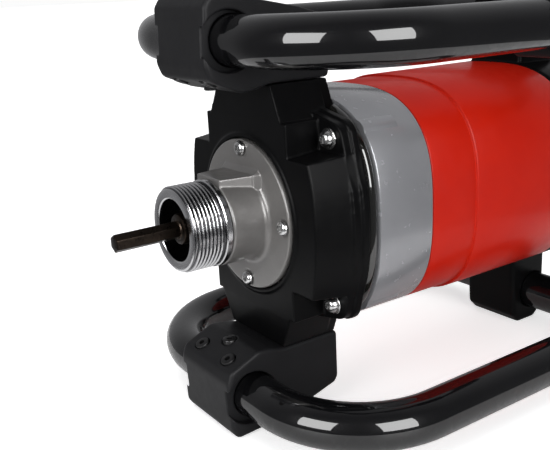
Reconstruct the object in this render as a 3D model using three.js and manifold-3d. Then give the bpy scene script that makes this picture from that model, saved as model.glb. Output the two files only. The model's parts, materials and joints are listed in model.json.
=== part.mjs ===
// Power head of an ice auger: threaded nose with a hexagon drive, two-stage
// reduction gearbox, cushion-shaped motor housing, two tubular handle loops,
// slide-on battery pack and a switch pod with trigger.
// Millimetres, +Z up.  +X is the output direction, +Y the operator's side.
// The origin is the centre of the hexagon's end face.
import * as THREE from 'three';
import { ConvexGeometry } from 'three/addons/geometries/ConvexGeometry.js';
import { mergeVertices } from 'three/addons/utils/BufferGeometryUtils.js';
import Module from 'manifold-3d';

// ---------------------------------------------------------------- driving dimensions
// Stations along X are counted from the flange face; everything is moved back
// by HEX_TIP at the end so that the hexagon's end face lands on x = 0.
const GAP = 0.3;              // clearance between neighbouring pieces
const HEX_TIP = 74.2;         // hexagon end face
const HEX_AF = 8;             // hexagon across flats
const HUB_R = 8;              // output shaft
const HUB_FRONT = 40;

const DISC_R = 40;            // flange disc
const DISC_T = 4.8;
const SPIGOT_R = 20.6;
const BOSS_FRONT = 20.5;
const BOSS_R = 22.9;
const PAD_HALF = [15.5, 11];  // flat pad on top of the boss: half-width at its root and front
const PAD_TOP = 23.8;
const FLANGE_SCREW_R = 35.4;  // radius of the flange screw circle

const NOSE_FRONT = 42.4;      // threaded nose
const NOSE_BORE = 16;
const THREAD_R = 22.2;
const THREAD_ROOT = 21.0;
const THREAD_PITCH = 2.1;
const THREAD_TURNS = 7;
const RIM_R = 22.6;

const FACE_X = -2.6;          // front face of the gearbox cover
const LIP_R = 43.7;
const LIP_X = -1.6;
const EAR_X = -22.5;          // floor of the corner notches
const RIM_X = -27.5;          // front of the rim that meets the gasket plate
const LOBE_R = 9.4;           // rim round each corner screw
const COVER_REAR = -31.7;
const CORNER_Y = 45.8;        // corner screws
const CORNER_Z = 42.6;
const SHOULDER = 51;          // step from the body's corners to the necks
const NECK_TOP = 69;          // outer end of the necks that carry the brackets

const PLATE_X = [-38, -32];   // gearbox plate
const BAND_X = [-74, -38.3];  // motor band
const SHELL_X = [-188, -74.3];// motor housing
const SKIN = { a: 65.5, b: 62.5, n: 2.8 }; // outline of the motor housing
const NARROW = 1.4;           // the band and the housing's front collar are this much slimmer
const COLLAR_END = -106;      // step from the collar to the full housing
const WALL = 4.2;

const BAR_Z = 91;             // plane of each handle loop
const BAR_X = 14.4;           // front bar
const BAR_HALF = 39;          // straight half-length of the front bar
const BAR_BEND = 57;
const REAR_BAR_X = -213;      // rear bar
const REAR_BEND = 42;
const TUBE_R = 12;
const TUBE_WALL = 2;
const SIDE_Y = BAR_HALF + BAR_BEND;        // side bars

const BRACKET_HALF = 25;      // half-width of the front brackets
const ARM_HALF = 20;          // half-width of the rear arms
const ARM_END = 112;          // outer end of brackets and arms: the standing faces

const LAY_Y = -30;            // layshaft axis before the gear train is turned
const LAY_TURN = 15;          // degrees, so that the layshaft clears a flange screw
const LAY_BEARING_R = 7.5;
const MODULE = 1.25;
const SMALL_TEETH = 12;
const LARGE_TEETH = 36;

const CAP_X = [-224, -188.3]; // rear cap
const PACK_X = [-296, -226];  // battery pack
const POD_X = [-168, -120];   // switch pod
const PIVOT = [POD_X[1] - 7, SIDE_Y - 18.6];

const wasm = await Module();
wasm.setup();
const { Manifold, Mesh: SolidMesh } = wasm;

// ---------------------------------------------------------------- solid helpers
const vec = (x, y, z) => new THREE.Vector3(x, y, z);

function toSolid(geometry) {
  const bare = geometry.clone();
  for (const key of Object.keys(bare.attributes)) {
    if (key !== 'position') bare.deleteAttribute(key);
  }
  const welded = mergeVertices(bare, 1e-4);
  const position = welded.attributes.position.array;
  const index = Array.from(welded.index.array);
  let volume = 0;
  const corner = (k) => vec(position[3 * k], position[3 * k + 1], position[3 * k + 2]);
  for (let i = 0; i < index.length; i += 3) {
    volume += corner(index[i]).dot(corner(index[i + 1]).cross(corner(index[i + 2])));
  }
  if (volume < 0) index.reverse();
  return new Manifold(new SolidMesh({
    numProp: 3,
    vertProperties: Float32Array.from(position),
    triVerts: Uint32Array.from(index),
  }));
}

const join = (...solids) => solids.reduce((a, b) => a.add(b));
const cut = (base, ...tools) => tools.reduce((a, b) => a.subtract(b), base);

// A solid turned about an axis parallel to X; the profile is [[x, r], ...].
function turned(profile, segments = 32, y = 0, z = 0) {
  const points = profile.map(([x, r]) => new THREE.Vector2(r, x));
  const geometry = new THREE.LatheGeometry(points, segments);
  const basis = new THREE.Matrix4().makeBasis(vec(0, 1, 0), vec(1, 0, 0), vec(0, 0, -1));
  geometry.applyMatrix4(basis);
  geometry.translate(0, y, z);
  return toSolid(geometry);
}

const rod = (r, x0, x1, segments = 32, y = 0, z = 0) =>
  turned([[x0, 0], [x0, r], [x1, r], [x1, 0]], segments, y, z);

const ring = (inner, outer, x0, x1, segments = 32, y = 0, z = 0) =>
  turned([[x0, inner], [x0, outer], [x1, outer], [x1, inner], [x0, inner]], segments, y, z);

function box(x0, x1, y0, y1, z0, z1) {
  const geometry = new THREE.BoxGeometry(x1 - x0, y1 - y0, z1 - z0);
  geometry.translate((x0 + x1) / 2, (y0 + y1) / 2, (z0 + z1) / 2);
  return toSolid(geometry);
}

function shapeOf(outline) {
  return new THREE.Shape(outline.map(([u, v]) => new THREE.Vector2(u, v)));
}

function extruded(shape, depth, bevel = 0) {
  return new THREE.ExtrudeGeometry(shape, {
    depth: depth - 2 * bevel,
    bevelEnabled: bevel > 0,
    bevelThickness: bevel,
    bevelSize: bevel,
    bevelOffset: -bevel,
    bevelSegments: 1,
    curveSegments: 6,
  }).translate(0, 0, bevel);
}

// A prism along X from an outline of [y, z] points.
function prismX(outline, x0, x1, bevel = 0) {
  const geometry = extruded(shapeOf(outline), x1 - x0, bevel);
  geometry.applyMatrix4(new THREE.Matrix4().makeBasis(vec(0, 1, 0), vec(0, 0, 1), vec(1, 0, 0)));
  geometry.translate(x0, 0, 0);
  return toSolid(geometry);
}

// A prism along Y from a shape drawn in [x, z].
function prismY(shape, y0, y1, bevel = 0) {
  const geometry = extruded(shape, y1 - y0, bevel);
  geometry.applyMatrix4(new THREE.Matrix4().makeBasis(vec(1, 0, 0), vec(0, 0, 1), vec(0, -1, 0)));
  geometry.translate(0, y1, 0);
  return toSolid(geometry);
}

// A rounded box: rounded in the YZ section, chamfered towards both X ends.
function roundedX(x0, x1, y0, y1, z0, z1, radius, bevel) {
  return prismX(roundedRect(y0, y1, z0, z1, radius), x0, x1, bevel);
}

function roundedRect(u0, u1, v0, v1, radius, steps = 4) {
  const outline = [];
  const centres = [
    [u1 - radius, v1 - radius, 0],
    [u0 + radius, v1 - radius, 1],
    [u0 + radius, v0 + radius, 2],
    [u1 - radius, v0 + radius, 3],
  ];
  for (const [u, v, quarter] of centres) {
    for (let i = 0; i <= steps; i += 1) {
      const angle = (quarter + i / steps) * Math.PI / 2;
      outline.push([u + radius * Math.cos(angle), v + radius * Math.sin(angle)]);
    }
  }
  return outline;
}

// The cushion outline of the motor section, drawn in by `inset`.
function cushion(inset = 0, { a, b, n } = SKIN, count = 40) {
  const outline = [];
  for (let i = 0; i < count; i += 1) {
    const angle = (i + 0.5) / count * 2 * Math.PI;
    const c = Math.cos(angle);
    const s = Math.sin(angle);
    outline.push([
      (a - inset) * Math.sign(c) * Math.abs(c) ** (2 / n),
      (b - inset) * Math.sign(s) * Math.abs(s) ** (2 / n),
    ]);
  }
  return outline;
}

const hull = (points) => toSolid(new ConvexGeometry(points.map((p) => vec(...p))));

// The gear train is drawn with its layshaft on -Y and turned as a whole.
const geared = (solid) => solid.rotate([LAY_TURN, 0, 0]);

const mirrorZ = (solid) => solid.mirror([0, 0, 1]);

// A solid drawn along +X from the origin, turned to point along `direction`
// (in the XZ plane) and moved to `at`.
function aimed(solid, at, direction) {
  const pitch = Math.atan2(-direction[1], direction[0]) * 180 / Math.PI;
  return solid.rotate([0, pitch, 0]).translate(at);
}

// A socket-head screw along X: head seat at x = 0, head on the +X side.
function socketScrew(headR, headH, shankR, length, socketAF) {
  const chamfer = headH * 0.2;
  const body = turned([
    [-length, 0], [-length, shankR], [0, shankR],
    [0, headR], [headH - chamfer, headR], [headH, headR - chamfer], [headH, 0],
  ], 10);
  return cut(body, hexagon(socketAF, headH * 0.4, headH + 1));
}

function hexagon(acrossFlats, x0, x1, turn = 0) {
  const radius = acrossFlats / Math.sqrt(3);
  const outline = [];
  for (let i = 0; i < 6; i += 1) {
    const angle = turn + i * Math.PI / 3;
    outline.push([radius * Math.cos(angle), radius * Math.sin(angle)]);
  }
  return prismX(outline, x0, x1);
}

// ---------------------------------------------------------------- gears
// Straight-flanked spur gear with running backlash.  A tooth (or, with
// `gapFirst`, a gap) points along +Y.
function spur(teeth, x0, x1, bore, y, gapFirst) {
  const pitchR = MODULE * teeth / 2;
  const pitch = 2 * Math.PI / teeth;
  const half = pitch / 4 * 0.84;
  const rootR = pitchR - 1.3 * MODULE;
  const tipR = pitchR + 0.85 * MODULE;
  const spread = 1.3 * MODULE * Math.tan(Math.PI / 9) / pitchR;
  const outline = [];
  for (let i = 0; i < teeth; i += 1) {
    const middle = (i + (gapFirst ? 0.5 : 0)) * pitch;
    const corners = [
      [rootR, -half - spread * 0.8], [tipR, -half + spread * 0.9],
      [tipR, half - spread * 0.9], [rootR, half + spread * 0.8],
    ];
    for (const [r, offset] of corners) {
      outline.push([r * Math.cos(middle + offset), r * Math.sin(middle + offset)]);
    }
  }
  const gear = prismX(outline, x0, x1);
  const bored = bore > 0 ? cut(gear, rod(bore, x0 - 1, x1 + 1, 24)) : gear;
  return bored.translate([0, y, 0]);
}

// ---------------------------------------------------------------- handle loops
// Stations of one loop, from the socket on the +Y side of the rear arm, round
// the front bar and back to the socket on the -Y side.
function loopPath() {
  const half = [[REAR_BAR_X, 1.5, [0, 1]]];
  const rearSteps = 5;
  for (let i = 0; i <= rearSteps; i += 1) {
    const angle = i / rearSteps * Math.PI / 2;
    half.push([
      REAR_BAR_X + REAR_BEND * (1 - Math.cos(angle)),
      SIDE_Y - REAR_BEND + REAR_BEND * Math.sin(angle),
      [Math.sin(angle), Math.cos(angle)],
    ]);
  }
  const frontSteps = 7;
  for (let i = 0; i <= frontSteps; i += 1) {
    const angle = i / frontSteps * Math.PI / 2;
    half.push([
      BAR_X - BAR_BEND + BAR_BEND * Math.sin(angle),
      BAR_HALF + BAR_BEND * Math.cos(angle),
      [Math.cos(angle), -Math.sin(angle)],
    ]);
  }
  const other = half.slice().reverse().map(([x, y, [dx, dy]]) => [x, -y, [-dx, dy]]);
  return half.concat(other);
}

function sweep(path, radius, segments, z, overrun) {
  const vertices = [];
  const faces = [];
  path.forEach(([x, y, [dx, dy]], station) => {
    const end = station === 0 ? -overrun : station === path.length - 1 ? overrun : 0;
    for (let i = 0; i < segments; i += 1) {
      const angle = (i + 0.5) / segments * 2 * Math.PI;
      const across = radius * Math.cos(angle);
      vertices.push(
        x + dx * end - dy * across,
        y + dy * end + dx * across,
        z + radius * Math.sin(angle),
      );
    }
  });
  for (let s = 0; s + 1 < path.length; s += 1) {
    for (let i = 0; i < segments; i += 1) {
      const a = s * segments + i;
      const b = s * segments + (i + 1) % segments;
      faces.push(a, b, b + segments, a, b + segments, a + segments);
    }
  }
  const last = (path.length - 1) * segments;
  for (let i = 1; i + 1 < segments; i += 1) {
    faces.push(0, i + 1, i);
    faces.push(last, last + i, last + i + 1);
  }
  const geometry = new THREE.BufferGeometry();
  geometry.setAttribute('position', new THREE.Float32BufferAttribute(vertices, 3));
  geometry.setIndex(faces);
  return toSolid(geometry);
}

// The hole that a bar of a loop goes through, centred on y = 0.
function tubeBore(length, x, z) {
  const geometry = new THREE.CylinderGeometry(TUBE_R + GAP, TUBE_R + GAP, length, 20);
  return toSolid(geometry.translate(x, 0, z));
}

function handleLoop(z) {
  const path = loopPath();
  return cut(sweep(path, TUBE_R, 14, z, 0), sweep(path, TUBE_R - TUBE_WALL, 6, z, 1));
}

// ---------------------------------------------------------------- the assembly
const head = new THREE.Group();
head.name = 'ice_auger_power_head';

function material(name, color, roughness, metalness) {
  const made = new THREE.MeshStandardMaterial({ color, roughness, metalness });
  made.name = name;
  return made;
}

const FINISH = {
  darkSteel: ['dark_steel', 0x2b2320, 0.45, 0.9],
  machined: ['machined_aluminium', 0xd4d6d8, 0.25, 1.0],
  casting: ['grey_casting', 0x96989b, 0.5, 0.7],
  zinc: ['zinc_steel', 0xc8c8c4, 0.3, 0.95],
  blackScrew: ['black_screw', 0x222224, 0.45, 0.8],
  cover: ['black_cover', 0x232428, 0.45, 0.1],
  bracket: ['black_bracket', 0x26272a, 0.55, 0.05],
  tube: ['black_tube', 0x0e0e10, 0.15, 0.2],
  seal: ['black_seal', 0x141414, 0.6, 0.0],
  plate: ['gloss_black_plate', 0x0c0c0e, 0.15, 0.1],
  band: ['silver_band', 0x9ea1a4, 0.4, 0.6],
  red: ['red_housing', 0xb5200c, 0.35, 0.0],
  steel: ['gear_steel', 0x8d8f92, 0.35, 0.95],
  bearing: ['bearing_steel', 0xb4b6b8, 0.25, 0.95],
  laminate: ['laminate', 0x6f6a66, 0.5, 0.8],
  copper: ['enamelled_copper', 0xa85a2a, 0.35, 0.8],
  fan: ['white_nylon', 0xd8d6cc, 0.5, 0.0],
  board: ['controller_board', 0x1d5a35, 0.5, 0.0],
  pack: ['battery_plastic', 0x1b1b1e, 0.5, 0.0],
  pod: ['pod_plastic', 0x202124, 0.5, 0.0],
  accent: ['red_control', 0xb2210f, 0.4, 0.0],
};

function add(name, solid, finish) {
  const mesh = solid.translate([-HEX_TIP, 0, 0]).getMesh();
  const geometry = new THREE.BufferGeometry();
  const positions = new Float32Array(mesh.vertProperties);
  geometry.setAttribute('position', new THREE.BufferAttribute(positions, 3));
  geometry.setIndex(new THREE.BufferAttribute(new Uint32Array(mesh.triVerts), 1));
  const flat = geometry.toNonIndexed();
  flat.computeVertexNormals();
  const part = new THREE.Mesh(flat, material(...FINISH[finish]));
  part.name = name;
  head.add(part);
}

// ---- output drive
function outputShaft() {
  const bevelled = turned([
    [HUB_FRONT - 1, 0], [HUB_FRONT - 1, 5], [HEX_TIP - 1.2, 5], [HEX_TIP, 3.9], [HEX_TIP, 0],
  ], 24);
  const hex = hexagon(HEX_AF, HUB_FRONT - 1, HEX_TIP, Math.PI / 6).intersect(bevelled);
  const body = turned([
    [-25, 0], [-25, HUB_R], [-4.2, HUB_R], [-4.2, 10.5], [1.7, 10.5], [1.7, HUB_R],
    [HUB_FRONT - 1, HUB_R], [HUB_FRONT, HUB_R - 1], [HUB_FRONT, 0],
  ], 28);
  return join(body, hex);
}

function threadedNose() {
  const profile = [
    [12.5, NOSE_BORE], [12.5, 18], [20.8, 18], [20.8, RIM_R - 0.4], [21.2, RIM_R],
    [23.8, RIM_R], [24.2, RIM_R - 0.4], [24.2, 20.6], [26.4, 20.6],
  ];
  for (let i = 0; i < THREAD_TURNS; i += 1) {
    const x = 26.6 + i * THREAD_PITCH;
    profile.push([x, THREAD_ROOT], [x + THREAD_PITCH * 0.5, THREAD_R]);
  }
  profile.push([NOSE_FRONT - 1.1, THREAD_ROOT + 0.9], [NOSE_FRONT, 21.1], [NOSE_FRONT, NOSE_BORE]);
  profile.push([12.5, NOSE_BORE]);
  return turned(profile, 28);
}

function flange() {
  const body = turned([
    [-14, 17.8], [-14, SPIGOT_R], [-DISC_T, SPIGOT_R], [-DISC_T, DISC_R],
    [-0.8, DISC_R], [0, DISC_R - 0.8], [0, BOSS_R + 2.4], [1.6, BOSS_R + 0.6], [BOSS_FRONT, BOSS_R],
    [BOSS_FRONT, 18.3], [12.2, 18.3], [12.2, 17.8], [1.6, 17.8], [1.6, 14.5], [-4, 14.5],
    [-4, 17.8], [-14, 17.8],
  ], 30);
  const pad = cut(
    hull([-1, 1].flatMap((side) => [
      [-2, side * PAD_HALF[0], PAD_TOP], [-2, side * (PAD_HALF[0] + 0.8), 8],
      [BOSS_FRONT, side * PAD_HALF[1], PAD_TOP], [BOSS_FRONT, side * (PAD_HALF[1] + 0.8), 8],
    ])),
    rod(20.5, -4, BOSS_FRONT + 1, 30),
  );
  const holes = quarterTurns(rod(2.4, -DISC_T - 1, 1, 8, 0, FLANGE_SCREW_R));
  return cut(join(body, pad), ...holes);
}

const quarterTurns = (solid) => [0, 90, 180, 270].map((angle) => solid.rotate([angle, 0, 0]));

// ---- gearbox
/** The cover's rear rim: the motor outline with a lobe round each corner screw. */
function lobedRim(inset, x0, x1) {
  const points = [];
  for (const [y, z] of cornerPoints()) {
    for (let i = 0; i < 8; i += 1) {
      const angle = (i / 8) * 2 * Math.PI;
      const r = LOBE_R - inset;
      const [v, w] = [y * 1.02 + r * Math.cos(angle), z + r * Math.sin(angle)];
      points.push([x0, v, w], [x1, v, w]);
    }
  }
  for (const side of [-1, 1]) {
    for (const x of [x0, x1]) {
      points.push([x, side * (64.2 - inset), -6], [x, side * (64.2 - inset), 6]);
      points.push([x, side * (62.8 - inset), -19], [x, side * (62.8 - inset), 19]);
      points.push([x, -24, side * (57 - inset)], [x, 24, side * (57 - inset)]);
      points.push([x, 0, side * (57.6 - inset)]);
    }
  }
  return hull(points);
}

function gearboxCover() {
  const sides = [];
  for (const y of [-1, 1]) {
    sides.push([FACE_X, y * 53.2, -34], [FACE_X, y * 53.2, 34]);
    sides.push([FACE_X, y * 57.2, -15], [FACE_X, y * 57.2, 15], [FACE_X, y * 58, 0]);
    sides.push([COVER_REAR, y * 58.4, -36.5], [COVER_REAR, y * 58.4, 36.5]);
    sides.push([COVER_REAR, y * 63.2, -17], [COVER_REAR, y * 63.2, 17], [COVER_REAR, y * 64, 0]);
  }
  const necks = [1, -1].map((side) => {
    const taper = [];
    const rear = [];
    for (const y of [-1, 1]) {
      for (const x of [FACE_X, COVER_REAR]) {
        taper.push([x, y * 33, side * SHOULDER], [x - 0.8, y * 24.5, side * NECK_TOP]);
      }
      for (const x of [-20, PLATE_X[0]]) {
        rear.push([x, y * 31, side * 52.5], [x, y * 24.5, side * NECK_TOP]);
      }
    }
    const lower = Math.min(side * 28, side * (SHOULDER + 0.1));
    const upper = Math.max(side * 28, side * (SHOULDER + 0.1));
    const shoulder = box(COVER_REAR, FACE_X, -37, 37, lower, upper);
    return join(hull(taper), hull(rear), shoulder);
  });
  const rim = lobedRim(0, COVER_REAR, RIM_X);
  const ears = lobedRim(1.2, COVER_REAR, EAR_X);
  const lip = rod(LIP_R, FACE_X - 2, LIP_X, 40);
  const screwHoles = cornerPoints().map(([y, z]) => rod(2.9, COVER_REAR - 1, EAR_X + 1, 8, y, z));
  const body = join(hull(sides), ...necks, rim, ears, lip);
  return cut(
    body,
    rod(DISC_R + GAP, -DISC_T - GAP, 5, 40),
    rod(SPIGOT_R + GAP, -20, 0, 32),
    rod(34, COVER_REAR - 8, -11.4, 28),
    geared(rod(26.5, COVER_REAR - 8, -11.4, 24, LAY_Y)),
    geared(rod(LAY_BEARING_R + GAP, -12, -6.2, 16, LAY_Y)),
    ...quarterTurns(rod(2.4, -9.5, 0, 8, 0, FLANGE_SCREW_R)),
    ...screwHoles,
  );
}

const cornerPoints = () => [
  [CORNER_Y, CORNER_Z], [CORNER_Y, -CORNER_Z], [-CORNER_Y, CORNER_Z], [-CORNER_Y, -CORNER_Z],
];

function gearboxPlate() {
  const plate = prismX(cushion(NARROW + 0.6), ...PLATE_X);
  const notch = (side) => box(-39, -31, -33.5, 33.5, side > 0 ? 51.8 : -70, side > 0 ? 70 : -51.8);
  const hub = rod(18, -48, PLATE_X[0] + 1, 24);
  const screwHoles = cornerPoints().map(([y, z]) => rod(2.9, -39, -31, 8, y, z));
  return cut(
    join(plate, hub),
    notch(1), notch(-1),
    rod(14 + GAP, -50, -38.4, 20),
    rod(9, -39, -31, 20),
    geared(rod(LAY_BEARING_R + GAP, -36.9, -31, 16, LAY_Y)),
    ...screwHoles,
  );
}

const pillowRing = (width, outer, inner, x, y = 0, segments = 20) => turned([
  [x, inner], [x, outer], [x + width, outer], [x + width, inner], [x, inner],
], segments, y);

// ---- motor
function motorBand() {
  const bore = prismX(cushion(WALL + NARROW), BAND_X[0] - 1, BAND_X[1] + 1);
  const skin = cut(prismX(cushion(NARROW), ...BAND_X), bore);
  const inner = prismX(cushion(NARROW + 1), ...BAND_X);
  const bosses = cornerPoints().map(([y, z]) => rod(7.5, -60, BAND_X[1], 8, y, z).intersect(inner));
  const taps = cornerPoints().map(([y, z]) => rod(2.9, -57, BAND_X[1] + 1, 8, y, z));
  return cut(join(skin, ...bosses), ...taps);
}

function motorHousing() {
  const [rear, front] = SHELL_X;
  const outer = join(
    prismX(cushion(NARROW), COLLAR_END - 1, front),
    prismX(cushion(), rear, COLLAR_END),
  );
  const skin = cut(outer, prismX(cushion(WALL + NARROW), rear - 1, front + 1));
  const inner = prismX(cushion(NARROW + 1), rear, front);
  const ribs = [-92, -146].map((x) => ring(56.8, 72, x, x + 5, 28).intersect(inner));
  const bosses = cornerPoints().map(([y, z]) => rod(7.5, rear, -170, 8, y, z).intersect(inner));
  const taps = cornerPoints().map(([y, z]) => rod(2.7, rear - 1, -171.5, 8, y, z));
  return cut(join(skin, ...ribs, ...bosses), ...taps);
}

function rotorShaft() {
  const body = turned([
    [-203, 0], [-203, 5], [-194.5, 5], [-194.5, 6], [-32, 6], [-32, 5], [-25.5, 5], [-25.5, 0],
  ], 24);
  return join(body, geared(spur(SMALL_TEETH, -31.5, -25.5, 0, 0, true)));
}

function fan() {
  const hub = ring(6.4, 15, -72, -54, 24);
  const disc = ring(12, 46, -72, -70, 28);
  const blades = [];
  const count = 9;
  for (let i = 0; i < count; i += 1) {
    const blade = box(-70.5, -57, -1, 1, 13, 45.5).rotate([360 * i / count, 0, 0]);
    blades.push(blade);
  }
  return join(hub, disc, ...blades);
}

function slots(inset, x0, x1) {
  const made = [];
  for (let i = 0; i < 6; i += 1) {
    const slot = box(x0, x1, -7 + inset, 7 - inset, 34 + inset, 46 - inset);
    made.push(slot.rotate([60 * i + 30, 0, 0]));
  }
  return made;
}

function statorCore() {
  return cut(ring(28, 56, -148, -84, 28), ...slots(0, -149, -83));
}

function statorCoils() {
  const front = ring(32, 48, -83.6, -76, 24);
  const rear = ring(32, 48, -156, -148.4, 24);
  return join(front, rear, ...slots(0.4, -150, -82));
}

// ---- rear cap with arms for the loops
function rearCap() {
  const [x0, x1] = CAP_X;
  const skin = cut(
    prismX(cushion(), x0, x1, 2.5),
    prismX(cushion(WALL), x0 + 4, x1 + 1),
  );
  const arms = [1, -1].map((side) => {
    const shape = shapeOf([
      [x0, 50], [x1 - 3, 50], [x1 - 4, 74], [x1 - 6, ARM_END - 6], [x1 - 12, ARM_END],
      [x0 + 8, ARM_END], [x0, ARM_END - 7],
    ]);
    const arm = prismY(shape, -ARM_HALF, ARM_HALF, 2);
    return side > 0 ? arm : mirrorZ(arm);
  });
  const hollow = prismX(cushion(WALL), x0 + 4, x1 + 1);
  const inside = prismX(cushion(1), x0 + 3, x1);
  const spokes = cut(
    join(
      box(x1 - 14, x1 - 9, -64, 64, -5, 5),
      box(x1 - 14, x1 - 9, -5, 5, -61, 61),
    ).intersect(inside),
    rod(13, x1 - 20, x1),
  );
  const bearingSeat = ring(11 + GAP, 16, x1 - 16, x1 - 3, 20);
  const bosses = cornerPoints().map(([y, z]) => rod(7.5, x0 + 3, x1, 8, y, z).intersect(inside));
  const railShape = shapeOf([
    [x0 + 1, 26], [x0 - 11, 26], [x0 - 11, 33], [x0 - 6, 33], [x0 - 6, 30], [x0 + 1, 30],
  ]);
  const rail = prismY(railShape, -36, 36);
  const sockets = [BAR_Z, -BAR_Z].map((z) => tubeBore(60, REAR_BAR_X, z));
  const vents = [];
  for (const side of [1, -1]) {
    for (let i = 0; i < 4; i += 1) {
      const z = (i - 1.5) * 11;
      vents.push(box(x1 - 28, x1 - 8, side * 66 - 9, side * 66 + 9, z - 2.2, z + 2.2));
    }
  }
  const shanks = cornerPoints().map(([y, z]) => rod(2.9, x0 - 1, x1 + 1, 8, y, z));
  const heads = cornerPoints().map(([y, z]) => rod(5.3, x0 - 1, x0 + 7, 12, y, z));
  const body = cut(join(skin, ...arms), hollow);
  return cut(
    join(body, spokes, bearingSeat, ...bosses, rail, mirrorZ(rail)),
    ...sockets, ...vents, ...shanks, ...heads,
  );
}

// ---- battery pack on the rails
function batteryPack() {
  const [x0, x1] = PACK_X;
  const body = roundedX(x0, x1, -42, 42, -56, 56, 9, 3);
  const groove = prismY(shapeOf([
    [x1 + 2, 25.4], [x1 - 9.6, 25.4], [x1 - 9.6, 33.6],
    [x1 - 3.4, 33.6], [x1 - 3.4, 30.6], [x1 + 2, 30.6],
  ]), -50, 37);
  const latchWell = box(x1 - 26, x1 - 8, 34, 50, -12.5, 12.5);
  const ribs = [];
  for (let i = 0; i < 4; i += 1) {
    const x = x0 + 12 + i * 9;
    ribs.push(cut(box(x, x + 3, -44, 44, -58, 58), box(x - 1, x + 4, -41, 41, -55, 55)));
  }
  return cut(body, groove, mirrorZ(groove), latchWell, ...ribs);
}

function batteryLatch() {
  const x1 = PACK_X[1];
  const button = roundedRect(x1 - 25.6, x1 - 8.4, -12, 12, 3, 3);
  const shape = shapeOf(button);
  return prismY(shape, 38, 45, 1.2);
}

// ---- switch pod on the side bar of the upper loop
function switchPod() {
  const [x0, x1] = POD_X;
  const y = SIDE_Y;
  const body = roundedX(x0, x1, y - 24, y + 17, BAR_Z, BAR_Z + 19, 5, 2);
  const tube = rod(TUBE_R + GAP, x0 - 1, x1 + 1, 20, y, BAR_Z);
  const leverGap = box(x1 - 13, x1 + 1, y - 25, y - 13.2, BAR_Z - 6.6, BAR_Z + 6.6);
  const buttonWell = uprightRod(5.3, x0 + 14, y, BAR_Z + 12.8, BAR_Z + 21, 16);
  const slideWell = box(x0 + 12, x0 + 32, y + 14, y + 18, BAR_Z + 3.7, BAR_Z + 12.3);
  const bolts = podBolts(2.4, BAR_Z - 1, BAR_Z + 10);
  return cut(body, tube, leverGap, buttonWell, slideWell, pinHole(), ...bolts);
}

function uprightRod(radius, x, y, z0, z1, segments = 12) {
  const geometry = new THREE.CylinderGeometry(radius, radius, z1 - z0, segments);
  geometry.rotateX(Math.PI / 2);
  geometry.translate(x, y, (z0 + z1) / 2);
  return toSolid(geometry);
}

const podBolts = (radius, z0, z1) => [POD_X[0] + 8, POD_X[1] - 20]
  .map((x) => uprightRod(radius, x, SIDE_Y - 18.2, z0, z1));

const pinHole = () => uprightRod(1.8, ...PIVOT, BAR_Z - 11, BAR_Z + 11);

function switchClamp() {
  const [x0, x1] = POD_X;
  const y = SIDE_Y;
  const body = roundedX(x0, x1, y - 24, y + 17, BAR_Z - 17, BAR_Z - GAP, 5, 2);
  const tube = rod(TUBE_R + GAP, x0 - 1, x1 + 1, 20, y, BAR_Z);
  const leverGap = box(x1 - 13, x1 + 1, y - 25, y - 13.2, BAR_Z - 6.6, BAR_Z + 6.6);
  return cut(
    body, tube, leverGap, pinHole(),
    ...podBolts(2.4, BAR_Z - 20, BAR_Z), ...podBolts(4.4, BAR_Z - 20, BAR_Z - 13),
  );
}

function trigger() {
  const shape = new THREE.Shape();
  const [px, py] = PIVOT;
  shape.moveTo(px - 4, py);
  shape.absarc(px, py, 4, Math.PI, 1.5 * Math.PI, false);
  shape.lineTo(px + 34, py - 3);
  shape.quadraticCurveTo(px + 42, py - 4.5, px + 46, py - 7);
  shape.lineTo(px + 47, py - 5);
  shape.quadraticCurveTo(px + 42, py - 1, px + 34, py + 0.5);
  shape.lineTo(px + 8, py + 2);
  shape.lineTo(px, py + 4);
  shape.absarc(px, py, 4, 0.5 * Math.PI, Math.PI, false);
  const lever = new THREE.ExtrudeGeometry(shape, {
    depth: 10,
    bevelEnabled: true,
    bevelThickness: 1,
    bevelSize: 0.8,
    bevelOffset: -0.8,
    bevelSegments: 1,
    curveSegments: 5,
  });
  lever.translate(0, 0, BAR_Z - 5);
  return cut(toSolid(lever), pinHole());
}

const lockButton = () => turned([
  [0, 0], [0, 5], [5.4, 5], [6.4, 4], [6.4, 0],
], 16).rotate([0, -90, 0]).translate([POD_X[0] + 14, SIDE_Y, BAR_Z + 16]);

function directionSlider() {
  const x = POD_X[0] + 22;
  const y = SIDE_Y;
  const base = box(x - 6, x + 6, y + 14.3, y + 17.4, BAR_Z + 4, BAR_Z + 12);
  const ridge = hull([
    [x - 3, y + 17, BAR_Z + 4.5], [x + 3, y + 17, BAR_Z + 4.5], [x - 3, y + 17, BAR_Z + 11.5],
    [x + 3, y + 17, BAR_Z + 11.5], [x - 1, y + 20, BAR_Z + 5.5], [x + 1, y + 20, BAR_Z + 5.5],
    [x - 1, y + 20, BAR_Z + 10.5], [x + 1, y + 20, BAR_Z + 10.5],
  ]);
  return join(base, ridge);
}

// ---- front brackets
// The inner face slopes away in front of the neck; three clamp screws in the
// slope bear on the front bar.
const SLOPE = [[14, 67], [29, 73.5]];
const SLOPE_NORMAL = [0.398, -0.918];
const CLAMP_SCREWS = [
  { at: [24, -13.4, 71.3], out: SLOPE_NORMAL },
  { at: [24, 13.4, 71.3], out: SLOPE_NORMAL },
  { at: [14.4, 0, 67.5], out: [0, -1] },
];

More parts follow.
